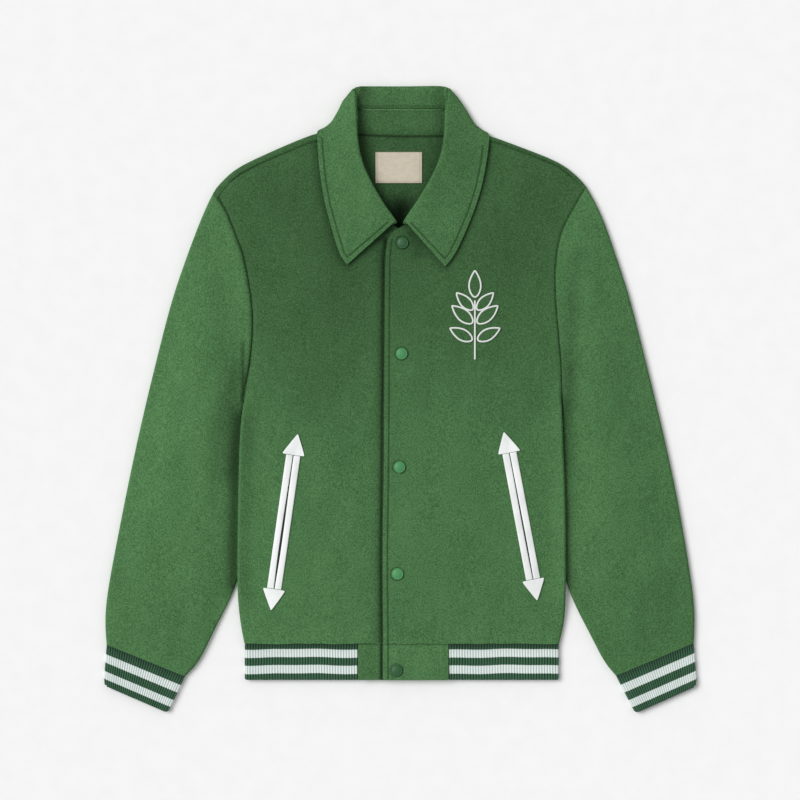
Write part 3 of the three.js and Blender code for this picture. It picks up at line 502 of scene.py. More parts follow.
class Shader:
    """A material under construction."""

    def __init__(self, name: str) -> None:
        """Starts a material with an empty node tree and its output."""
        self.material = bpy.data.materials.new(name)
        self.material.use_nodes = True
        self.tree = self.material.node_tree
        self.tree.nodes.clear()

    def node(
        self, kind: str, settings: dict[str, Any] | None = None,
        inputs: dict[int | str, Any] | None = None, output: int | str = 0,
    ) -> Signal:
        """Adds a node of any type.

        Args:
            kind: The node's type.
            settings: Its settings, which are set before its sockets.
            inputs: Values or signals for its input sockets.
            output: The output that is wanted.

        Returns:
            The wanted output.
        """
        made = self.tree.nodes.new(kind)
        for name, value in (settings or {}).items():
            setattr(made, name, value)
        for key, value in (inputs or {}).items():
            if isinstance(value, Signal):
                self.tree.links.new(value.socket, made.inputs[key])
            else:
                made.inputs[key].default_value = value
        return Signal(self, made.outputs[output])

    def place(self) -> Signal:
        """The place on the garment, in metres."""
        return self.node("ShaderNodeTexCoord", output="Object")

    def painted(self, name: str) -> Signal:
        """A value that the mesh carries at its points."""
        return self.node("ShaderNodeAttribute", {"attribute_name": name}, output="Fac")

    def noise(self, scale: Sequence[float], detail: float, rough: float) -> Signal:
        """Soft noise from 0 to 1 over the garment.

        Args:
            scale: How fine it is along each axis, in spots to a metre.
            detail: How many finer layers it has.
            rough: How strong they are.

        Returns:
            The noise.
        """
        place = self.node(
            "ShaderNodeVectorMath", {"operation": "MULTIPLY"}, {0: self.place(), 1: tuple(scale)}
        )
        inputs = {"Vector": place, "Scale": 1.0, "Detail": detail, "Roughness": rough}
        return self.node("ShaderNodeTexNoise", inputs=inputs)

    def axis(self, place: Signal, name: str) -> Signal:
        """One coordinate of a place."""
        return self.node("ShaderNodeSeparateXYZ", inputs={0: place}, output=name)

    def blend(self, share: Any, low: Any, high: Any) -> Signal:
        """A colour between two others."""
        return self.node(
            "ShaderNodeMix", {"data_type": "RGBA"}, {0: share, 6: low, 7: high}, output=2
        )

    def bump(self, height: Signal, distance: float, strength: float = 1.0) -> Signal:
        """A normal from a height from 0 to 1 that stands for a distance in metres."""
        return self.node(
            "ShaderNodeBump", inputs={"Height": height, "Distance": distance, "Strength": strength},
        )

    def finish(self, **sockets: Any) -> Material:
        """Closes the material with its surface.

        Args:
            sockets: The surface's sockets, with underscores for spaces.

        Returns:
            The material.
        """
        inputs = {name.replace("_", " "): value for name, value in sockets.items()}
        surface = self.node("ShaderNodeBsdfPrincipled", inputs=inputs)
        end = self.tree.nodes.new("ShaderNodeOutputMaterial")
        self.tree.links.new(surface.socket, end.inputs["Surface"])
        return self.material


@dataclass(frozen=True)
class BrushedWool:
    """Brushed wool with a short pebbly nap."""

    name: str
    dark: tuple = linear(60, 99, 58)
    light: tuple = linear(94, 139, 90)
    deep: tuple = linear(5, 14, 4)
    sheen: tuple = linear(150, 190, 140)

    def make(self) -> Material:
        """Makes the wool."""
        shader = Shader(self.name)
        hair = shader.noise((1100, 520, 1100), 2, 0.6)
        pebble = shader.noise((640, 560, 640), 1, 0.5)
        tuft = shader.noise((230, 150, 230), 2, 0.5)
        cloud = shader.noise((40, 22, 40), 2, 0.5)
        tone = (hair * 0.6 + pebble + tuft * 0.22 + cloud * 0.25).step(0.68, 1.4)
        nap = shader.blend(tone, self.dark, self.light)
        # Painted shade: the nap colour is darkened toward the painted shade colour by the mesh's shade
        # values.
        return shader.finish(
            Base_Color=shader.blend(shader.painted(SHADE), nap, self.deep), Roughness=0.95,
            Specular_IOR_Level=0.08, Sheen_Weight=0.07, Sheen_Roughness=0.45, Sheen_Tint=self.sheen,
            Normal=shader.bump(hair * 0.4 + pebble * 0.8 + tuft * 0.25, 0.0009, 0.75),
        )


@dataclass(frozen=True)
class RibKnit:
    """Rib knit with two white stripes between its seam and its foot."""

    name: str
    edges: tuple[float, ...]
    height: float
    green: tuple = linear(58, 99, 72)
    green_valley: tuple = linear(12, 33, 20)
    white: tuple = linear(222, 232, 228)
    white_valley: tuple = linear(202, 213, 209)

    def make(self) -> Material:
        """Makes the rib knit."""
        shader = Shader(self.name)
        down = shader.painted(RIB_DOWN)
        rib = (shader.painted(RIB_PHASE) * math.pi).cosine().size()
        fuzz = shader.noise((700, 700, 700), 2, 0.6)
        jog = down + ((fuzz - 0.5) * 0.8 + (1 - rib) * 0.35) * (1 / self.height)
        blur = 0.3 / self.height
        white = None
        for start, end in zip(self.edges[0::2], self.edges[1::2]):
            band = jog.step(start - blur, start + blur) * (1 - jog.step(end - blur, end + blur))
            white = band if white is None else white + band
        course = ((down * self.height + rib) * (2 * math.pi / 1.5)).sine() * 0.5 + 0.5
        # Painted shade: the rib valleys take darker copies of the green and the white.
        top = (rib + (fuzz - 0.5) * 0.4 + (course - 0.5) * 0.15).step(0.05, 0.7)
        green = shader.blend(top, self.green_valley, self.green)
        pale = shader.blend(top, self.white_valley, self.white)
        knit = shader.blend(white, green, pale)
        # Painted shade: the knit is darkened toward near-black green by the mesh's shade values.
        return shader.finish(
            Base_Color=shader.blend(shader.painted(SHADE), knit, linear(8, 16, 10)), Roughness=0.85,
            Specular_IOR_Level=0.25, Sheen_Weight=0.08,
            Normal=shader.bump(rib * 0.8 + course * 0.2 + fuzz * 0.3, 0.0007, 0.9),
        )


@dataclass(frozen=True)
class WhiteLeather:
    """Smooth white leather with a fine grain."""

    name: str = "white_leather"
    colour: tuple = linear(240, 243, 242)
    worn: tuple = linear(226, 230, 228)

    def make(self) -> Material:
        """Makes the leather."""
        shader = Shader(self.name)
        place = shader.place()
        grain = shader.node(
            "ShaderNodeTexVoronoi", {"feature": "SMOOTH_F1"},
            {"Vector": place, "Scale": 1100.0, "Smoothness": 0.6}, "Distance",
        )
        wrinkle = shader.noise((90, 40, 90), 3, 0.6)
        return shader.finish(
            Base_Color=shader.blend(wrinkle.step(0.35, 0.75), self.colour, self.worn),
            Roughness=wrinkle * 0.2 + 0.36, Coat_Weight=0.12,
            Normal=shader.bump(grain * 0.5 + wrinkle, 0.0002, 0.7),
        )


@dataclass(frozen=True)
class SnapEnamel:
    """Green enamel on a metal snap cap."""

    name: str = "snap_enamel"
    colour: tuple = linear(68, 142, 84)
    deep: tuple = linear(6, 60, 18)

    def make(self) -> Material:
        """Makes the enamel."""
        shader = Shader(self.name)
        peel = shader.noise((500, 500, 500), 1, 0.4)
        # Painted shade: the enamel is darkened toward the painted shade colour by the cap's shade value.
        return shader.finish(
            Base_Color=shader.blend(shader.painted(SHADE), self.colour, self.deep),
            Roughness=peel * 0.08 + 0.5, Coat_Weight=0.05, Normal=shader.bump(peel, 0.00006, 0.5),
        )


@dataclass(frozen=True)
class LabelWeave:
    """The label's cream satin weave."""

    name: str = "label_weave"
    colour: tuple = linear(214, 204, 186)
    dark: tuple = linear(190, 178, 158)

    def make(self) -> Material:
        """Makes the weave."""
        shader = Shader(self.name)
        place = shader.place()
        x = shader.axis(place, "X") * (2 * math.pi / 0.0006)
        y = shader.axis(place, "Y") * (2 * math.pi / 0.0009)
        weave = (x.sine() + 1) * 0.25 + ((y + x * 0.5).sine() + 1) * 0.25
        slub = shader.noise((150, 260, 150), 2, 0.5)
        satin = shader.blend((weave * 0.5 + slub * 0.5).step(0.15, 0.8), self.dark, self.colour)
        # Painted shade: the satin is darkened toward brown by the mesh's shade values.
        return shader.finish(
            Base_Color=shader.blend(shader.painted(SHADE), satin, linear(70, 58, 40)),
            Roughness=0.7, Sheen_Weight=0.1, Normal=shader.bump(weave + slub * 0.4, 0.0001, 0.7),
        )


@dataclass(frozen=True)
class TwistedThread:
    """Thread or cord, with its plies in its bump."""

    name: str
    colour: tuple
    dark: tuple
    turns: float = 900.0

    def make(self) -> Material:
        """Makes the thread."""
        shader = Shader(self.name)
        place = shader.place()
        x = shader.axis(place, "X") * self.turns
        y = shader.axis(place, "Y") * self.turns
        ply = ((x + y) * (2 * math.pi)).sine() * 0.5 + 0.5
        fuzz = shader.noise((1500, 1500, 1500), 2, 0.5)
        return shader.finish(
            Base_Color=shader.blend((ply * 0.6 + fuzz * 0.5).step(0.1, 0.9), self.dark, self.colour),
            Roughness=0.75, Normal=shader.bump(ply * 0.7 + fuzz * 0.4, 0.0002, 0.8),
        )


def cage_of(node: str, rim: float) -> BMesh:
    """A CAD solid as a cage of quads with softened rims.

    Args:
        node: The CAD node.
        rim: How far the rims are cut back.

    Returns:
        The cage, in metres.
    """
    cage = bmesh.new()
    cage.from_mesh(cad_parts[node].data)
    bmesh.ops.remove_doubles(cage, verts=cage.verts, dist=1e-6)
    bmesh.ops.join_triangles(
        cage, faces=cage.faces, angle_face_threshold=math.radians(60),
        angle_shape_threshold=math.pi,
    )
    bmesh.ops.recalc_face_normals(cage, faces=cage.faces)
    sharp = [e for e in cage.edges if e.is_manifold and e.calc_face_angle(0) > math.radians(58)]
    if rim and sharp:
        bmesh.ops.bevel(
            cage, geom=sharp, offset=rim * MM, offset_type="OFFSET", segments=2, profile=0.5,
            affect="EDGES", clamp_overlap=True,
        )
    return cage


def rounded(cage: BMesh, levels: int) -> BMesh:
    """A cage rounded by subdivision.

    Args:
        cage: The cage, which stays.
        levels: How many times each face is split.

    Returns:
        The finer mesh.
    """
    mesh = bpy.data.meshes.new("cage")
    cage.to_mesh(mesh)
    carrier = bpy.data.objects.new("cage", mesh)
    bpy.context.scene.collection.objects.link(carrier)
    modifier = carrier.modifiers.new("round", "SUBSURF")
    modifier.levels = modifier.render_levels = levels
    graph = bpy.context.evaluated_depsgraph_get()
    finer = bmesh.new()
    finer.from_mesh(carrier.evaluated_get(graph).to_mesh())
    carrier.evaluated_get(graph).to_mesh_clear()
    bpy.data.objects.remove(carrier)
    bpy.data.meshes.remove(mesh)
    return finer


def subdivided(cage: BMesh, levels: int, growth: float, above: float) -> BMesh:
    """A cage rounded by subdivision, grown first so that rounding shrinks it less.

    Args:
        cage: The cage, which is used up.
        levels: How many times each face is split.
        growth: The share of the shrinkage that is made good beforehand.
        above: The y, in millimetres, from which the cage is grown.

    Returns:
        The finer mesh.
    """
    once = rounded(cage, 1)
    once.verts.ensure_lookup_table()
    shrunk = [once.verts[index].co.copy() for index in range(len(cage.verts))]
    once.free()
    for vertex, place in zip(cage.verts, shrunk):
        if place.y > above * MM:
            vertex.co += (vertex.co - place) * growth
    finer = rounded(cage, levels)
    cage.free()
    return finer


def add_object(
    name: str,
    mesh: BMesh,
    material: Material,
    slot: str,
    paint: dict[str, Array] | None = None,
) -> Object:
    """Puts a finished mesh into the scene.

    Args:
        name: The piece's name.
        mesh: The mesh, which is used up.
        material: Its finish.
        slot: The slot for that finish; not used.
        paint: The values that its points carry for the finish, by name.

    Returns:
        The new object.
    """
    data = bpy.data.meshes.new(name)
    mesh.to_mesh(data)
    mesh.free()
    data.shade_smooth()
    data.materials.append(material)
    for key, values in (paint or {}).items():
        layer = data.attributes.new(key, "FLOAT", "POINT")
        layer.data.foreach_set("value", np.asarray(values, dtype=np.float32))
    made = bpy.data.objects.new(name, data)
    bpy.context.scene.collection.objects.link(made)
    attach(made, ROOT)
    return made


@dataclass(frozen=True)
class Cut:
    """The flat size that a piece of cloth was cut to, in metres."""

    width: float
    length: float
    area: float


@dataclass(frozen=True)
class Topstitch:
    """A sewn line that is pressed into the cloth."""

    path: Path
    depth: float = 1.2
    width: float = 0.95
    reach: float = 2.4
    fineness: float = 0.75

    def press(self, points: Array, facing: Array) -> Array:
        """The line's depth at each point that faces up."""
        away, _ = measure_path(points[:, :2], self.path)
        return -self.depth * np.exp(-((away / self.width) ** 2)) * (facing > 0.25)


def refine(mesh: BMesh, line: Topstitch) -> None:
    """Splits the edges near a sewn line until none is longer than its fineness.

    Args:
        mesh: The mesh, which is changed.
        line: The line.
    """
    for _ in range(3):
        mesh.verts.ensure_lookup_table()
        places = np.array([v.co for v in mesh.verts]) / MM
        inside = measure_path(places[:, :2], line.path)[0] < line.reach
        mesh.verts.index_update()
        long = [
            e
            for e in mesh.edges
            if (inside[e.verts[0].index] or inside[e.verts[1].index])
            and e.calc_length() > line.fineness * MM
        ]
        if not long:
            return
        bmesh.ops.subdivide_edges(mesh, edges=long, cuts=1, use_grid_fill=True, smooth=0.0)


@dataclass
class ClothPiece:
    """A piece of cloth that stands for one CAD node."""

    node: str
    slot: str
    cut: Cut | None
    lift: Lift = Lift.WHOLE
    drape: Drape | None = BODY_DRAPE
    levels: int = 3
    rim: float = 0.8
    growth: float = 0.0
    grown_above: float = -math.inf
    stitches: tuple[Topstitch, ...] = ()
    rests_on: tuple[str, ...] = ()
    folds: tuple[Fold, ...] = ()
    shades: tuple[Shade, ...] = ()
    extra: Callable[[Array, Array], Array] | None = None
    paint: Callable[[Array], dict[str, Array]] | None = None

    def lifts(self, points: Array) -> Array:
        """How far the folds of the layers lift each point."""
        x_y, z = points[:, :2], points[:, 2]
        lift = np.zeros_like(z)
        if self.drape is not None:
            share = smooth((z - TOP_LAYER) / LAYER_BLEND) if self.lift is Lift.UPPER else 1
            lift += self.drape.heights(x_y) * share
        if self.lift in (Lift.UNDER, Lift.UPPER):
            low = smooth((UNDER_LAYER - z) / LAYER_BLEND) * (points[:, 1] > HEM_Y + 1)
            lift += np.sum([fold.heights(x_y) for fold in UNDER_FOLDS], axis=0) * low
        return lift

    def build(self, material: Material) -> Object:
        """Makes the piece and hides the CAD solid that it stands for.

        Args:
            material: The cloth's finish.

        Returns:
            The new piece.
        """
        mesh = subdivided(cage_of(self.node, self.rim), self.levels, self.growth, self.grown_above)
        for line in self.stitches:
            refine(mesh, line)
        points = np.array([v.co for v in mesh.verts]) / MM
        mesh.normal_update()
        facing = np.array([v.normal.z for v in mesh.verts])
        moved = points.copy()
        moved[:, 2] += self.lifts(points)
        upper = smooth(facing * 2 + 1) * smooth(points[:, 2] / FLOOR_BLEND)
        for fold in self.folds:
            moved[:, 2] += fold.heights(points[:, :2]) * upper
        for line in self.stitches:
            moved[:, 2] += line.press(points, facing)
        if self.extra is not None:
            moved += self.extra(points, facing)
        moved[:, 2] = np.maximum(moved[:, 2], 0)
        for vertex, place in zip(mesh.verts, moved * MM):
            vertex.co = place
        mesh.normal_update()
        # Painted shade: the shade bands darken the cloth's colour on the faces that look up.
        paint = {SHADE: shade_values(self.shades, points) * smooth(facing * 4 + 1)}
        if self.paint is not None:
            paint.update(self.paint(points))
        made = add_object(f"{self.node}_cloth", mesh, material, self.slot, paint)
        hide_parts(self.node)
        if self.cut is not None:
            list(self.rests_on)
        log.info("%s: %d faces", made.name, len(made.data.polygons))
        return made


class Surface:
    """Finds the top of the pieces under a place."""

    def __init__(self, pieces: Sequence[Object]) -> None:
        """Gathers the pieces' faces into search trees."""
        self.trees = [
            BVHTree.FromPolygons(
                [v.co[:] for v in piece.data.vertices],
                [list(p.vertices) for p in piece.data.polygons],
            )
            for piece in pieces
        ]

    def top(self, x: float, y: float) -> float:
        """The height of the top face over a place, or -1 where there is none."""
        start, down = Vector((x * MM, y * MM, 0.2)), Vector((0, 0, -1))
        hits = [tree.ray_cast(start, down)[0] for tree in self.trees]
        return max((hit.z / MM for hit in hits if hit is not None), default=-1.0)


def loft(mesh: BMesh, rings: Sequence[Sequence[Vector]], closed: bool = False) -> None:
    """Adds the skin of a row of rings.

    Args:
        mesh: The mesh that takes the skin.
        rings: The rings' points, in millimetres.
        closed: Whether the last ring joins the first. The ends are capped otherwise.
    """
    made = [[mesh.verts.new(place * MM) for place in ring] for ring in rings]
    for low, high in zip(made, [*made[1:], *made[: int(closed)]]):
        for k in range(len(low)):
            mesh.faces.new((low[k - 1], low[k], high[k], high[k - 1]))
    if not closed:
        mesh.faces.new(made[0][::-1])
        mesh.faces.new(made[-1])


def sweep(
    mesh: BMesh,
    spine: Sequence[Sequence[float]],
    radius: float,
    sides: int = 8,
    closed: bool = False,
) -> None:
    """Adds a round tube along a spine.

    Args:
        mesh: The mesh that takes the tube.
        spine: The tube's middle, in millimetres.
        radius: The tube's radius.
        sides: How many sides it has.
        closed: Whether the spine is a loop.
    """
    middles = [Vector(middle) for middle in spine]
    turns = [2 * math.pi * k / sides for k in range(sides)]
    rings = []
    for index, middle in enumerate(middles):
        before = middles[index - 1] if closed or index else middle
        last = index == len(middles) - 1 and not closed
        after = middle if last else middles[(index + 1) % len(middles)]
        way = (after - before).normalized()
        side = way.cross(Vector((0, 0, 1))).normalized()
        up = side.cross(way)
        rings.append([middle + (side * math.cos(a) + up * math.sin(a)) * radius for a in turns])
    loft(mesh, rings, closed)


@dataclass
class Materials:
    """Every finish on the jacket."""

    wool: Material = field(default_factory=BrushedWool("brushed_wool").make)
    leather: Material = field(default_factory=WhiteLeather().make)
    enamel: Material = field(default_factory=SnapEnamel().make)
    label: Material = field(default_factory=LabelWeave().make)
    tonal: Material = field(
        default_factory=TwistedThread("tonal_thread", linear(66, 104, 62), linear(44, 74, 42)).make
    )
    white: Material = field(
        default_factory=TwistedThread("white_thread", linear(240, 243, 240), linear(200, 206, 200)).make
    )
    # The pocket lining in each slit, dark as painted shade for the slit's shadow.
    dark: Material = field(
        default_factory=TwistedThread("pocket_lining", linear(34, 44, 36), linear(20, 26, 22), 300).make
    )


def ring(x: float, y: float, radius: float, sides: int = 24) -> Path:
    """A closed circle as a path."""
    turns = [2 * math.pi * k / sides for k in range(sides + 1)]
    return tuple((x + radius * math.cos(a), y + radius * math.sin(a)) for a in turns)


SNAP_MIDDLES: Path = ((2.6, 191.3), (1.6, 56.2), (-1, -82), (-3.4, -212.2), (-4.6, -330))


@dataclass
class Collar:
    """The collar's fall and its stand."""

    inset: float = 6.5
    edge_right: Path = (
        (-4, 216.5), (-65, 164.5), (-74, 176), (-81.5, 201), (-91, 235), (-97, 266), (-100.2, 298),
        (-101.6, 318),
    )
    edge_left: Path = (
        (3.3, 216.5), (54.5, 162.6), (65, 174), (75, 194.5), (89, 227), (99, 258), (104.8, 287),
        (107.6, 308),
    )

    def stitched(self, edge: Path, side: Side) -> Path:
        """The sewn line inside the collar's edge.

        Args:
            edge: The collar's edge, from the front's end round the point.
            side: The wearer's side.

        Returns:
            The line, moved in by the inset.
        """
        corners = np.asarray(edge, dtype=float)
        legs = np.diff(corners, axis=0)
        ways = legs / np.hypot(legs[:, 0], legs[:, 1])[:, None]
        normals = np.stack([ways[:, 1], -ways[:, 0]], axis=1) * -side.value
        line = [corners[0] + normals[0] * self.inset + ways[0] * 8]
        for index in range(1, len(corners) - 1):
            a, b = normals[index - 1], normals[index]
            line.append(corners[index] + (a + b) / (1 + a @ b) * self.inset)
        line.append(corners[-1] + normals[-1] * self.inset)
        return tuple((float(x), float(y)) for x, y in line)

    def lines(self) -> list[Path]:
        """Both sewn lines."""
        return [self.stitched(self.edge_right, Side.RIGHT), self.stitched(self.edge_left, Side.LEFT)]

    def build(self, finishes: Materials) -> list[Object]:
        """Makes the fall and the stand."""
        sewn = self.lines()
        return [
            ClothPiece(
                "collar", "wool", Cut(0.545, 0.095, 0.037), levels=2,
                stitches=(*(Topstitch(line) for line in sewn), Topstitch(COLLAR_SEAM, 0, 1, 6, 1)),
                rests_on=("front_right", "front_left"), rim=0.7, growth=1.5, grown_above=345,
                shades=(*COLLAR_SHADES, *(Shade(line, 1.0, 0.4) for line in sewn)),
            ).build(finishes.wool),
            ClothPiece(
                "collar_stand", "wool", Cut(0.42, 0.022, 0.0066), rests_on=("back",), rim=0.7,
                growth=0.6, shades=STAND_SHADES,
            ).build(finishes.wool),
        ]


@dataclass
class Body:
    """The two fronts, the back and the hem's tabs."""

    placket_inset: float = 6.0
    placket_edge: Path = (
        (-20.6, -340), (-20.6, -296), (-20.8, -270), (-21.2, -228), (-21.3, -184), (-20.7, -139),
        (-20, -92), (-19.7, -52), (-19.4, -2), (-19.1, 56), (-18.9, 94), (-18.6, 130),
        (-18, 174), (-15.5, 195),
    )

    def placket_line(self) -> Path:
        """The sewn line along the placket's edge."""
        return tuple((x + self.placket_inset, y) for x, y in self.placket_edge)

    def hem_overhang(self, points: Array, facing: Array) -> Array:
        """The fronts' lower edge, which swells a little over the rib.

        Args:
            points: The piece's points.
            facing: How far each point faces up.

        Returns:
            The points' moves.
        """
        x = points[:, 0]
        near = np.exp(-np.abs(points[:, 1] - HEM_Y) / 3.5) * smooth(facing + 0.9)
        wave = np.sin(x / 6.5 + 1.3 * np.sin(x / 17)) + 0.6 * np.sin(x / 13 + 1)
        move = np.zeros_like(points)
        move[:, 1] = -(0.9 + 0.35 * wave) * near
        move[:, 2] = (0.7 + 0.25 * wave) * near
        return move

    def build(self, finishes: Materials, collar: Collar) -> list[Object]:
        """Makes the body.

        Args:
            finishes: The jacket's finishes.
            collar: The collar that lies on the fronts.

        Returns:
            The body's pieces.
        """
        line = Topstitch(self.placket_line())
        # Painted shade: a dark line in the pressed stitch groove, dark rings in the snaps' dents, dark
        # bands beside and under the placket's edge, and a dark line along the hem seam.
        sewn = Shade(line.path, 1.0, 0.35)
        dents = [ring(x, y, SNAP_DENT) for x, y in SNAP_MIDDLES]
        presses = [Topstitch(dent, 0.6, 0.9, 2.6, 0.8) for dent in dents]
        rims = [Shade(dent, 0.9, 0.35) for dent in dents]
        under_edge = tuple((x - 2.5, y) for x, y in self.placket_edge)
        under = Shade(under_edge, 2.4, 0.85)
        seam = Shade(((-200, HEM_Y), (200, HEM_Y)), 1.7, 0.65)
        pieces = [
            ClothPiece(
                "front_right", "wool", Cut(0.243, 0.62, 0.124), rests_on=("back",), growth=0.5,
                folds=(
                    Fold(under_edge, 5, -1.5),
                    Fold(collar.edge_right, 6, -1.0),
                    Fold(ARMHOLE_RIGHT, 3.4, -1.5),
                    Fold(SHOULDER_SEAM_RIGHT, 2.0, -0.6),
                ),
                shades=(
                    *BODY_SHADES, under,
                    Shade(under_edge, 9, 0.2),
                    Shade(collar.edge_right, 7, 0.35),
                    Shade(ARMHOLE_RIGHT, 1.4, 0.55),
                    *SHOULDER_SHADES,
                ),
                extra=self.hem_overhang,
            ),
            ClothPiece(
                "front_left", "wool", Cut(0.245, 0.62, 0.127), growth=0.5,
                stitches=(line, *presses[:4]), rests_on=("back", "front_right"),
                folds=(
                    Fold(collar.edge_left, 6, -1.0),
                    Fold(ARMHOLE_LEFT, 1.8, -0.8),
                    Fold(SHOULDER_SEAM_LEFT, 2.0, -0.6),
                ),
                shades=(
                    *BODY_SHADES, sewn, *rims[:4],
                    Shade(collar.edge_left, 6, 0.3),
                    Shade(ARMHOLE_LEFT, 0.9, 0.45),
                    *SHOULDER_SHADES,
                ),
                extra=self.hem_overhang,
            ),
            ClothPiece(
                "back", "wool", Cut(0.456, 0.64, 0.247), lift=Lift.UNDER, drape=None, levels=2,
                growth=0.5, shades=(*BODY_SHADES[:2], *NECK_SHADES, *SHOULDER_SHADES),
            ),
            ClothPiece(
                "hem_tab_right", "wool", Cut(0.071, 0.045, None), rests_on=("hem_rib",),
                shades=(*BODY_SHADES[:1], Shade(((0, -400), (0, -200)), 90, 0.1), under, seam),
            ),
            ClothPiece(
                "hem_tab_left", "wool", Cut(0.081, 0.045, None), stitches=(line, presses[4]),
                rests_on=("hem_tab_right",), shades=(*BODY_SHADES[:1], sewn, rims[4], seam),
            ),
        ]
        return [piece.build(finishes.wool) for piece in pieces]


@dataclass
class Sleeves:
    """Both sleeves."""

    cut: Cut = Cut(0.36, 0.6, 0.132)

    def build(self, finishes: Materials) -> list[Object]:
        """Makes the sleeves."""
        armholes = {Side.RIGHT: Fold(ARMHOLE_RIGHT, 3.6, -1.6), Side.LEFT: Fold(ARMHOLE_LEFT, 1.8, -0.8)}
        return [
            ClothPiece(
                f"sleeve_{side.word}", "wool", self.cut, lift=Lift.UPPER, drape=SLEEVE_DRAPES[side],
                levels=2, growth=0.5, stitches=(Topstitch(armholes[side].path, 0, 1, 6, 1.3),),
                folds=(armholes[side],), shades=SLEEVE_SHADES[side],
            ).build(finishes.wool)
            for side in Side
        ]


def corner_moves(points: Array, corner: Point, along: Point, up: Point, radius: float = 4.5) -> Array:
    """Pulls a piece's sharp corner in to a round one.

    Args:
        points: The piece's points.
        corner: The corner.
        along: A place on one of its sides.
        up: A place on its other side.
        radius: The round corner's radius.

    Returns:
        The points' moves.
    """
    sides = [np.subtract(place, corner) for place in (along, up)]
    sides = [side / np.linalg.norm(side) for side in sides]
    short = [radius - (points[:, :2] - corner) @ side for side in sides]
    reach = np.hypot(*short)
    pull = (short[0] > 0) * (short[1] > 0) * np.maximum(1 - radius / np.maximum(reach, 1e-6), 0)
    moves = np.zeros_like(points)
    moves[:, :2] = sum((pull * gap)[:, None] * side for gap, side in zip(short, sides))
    return moves


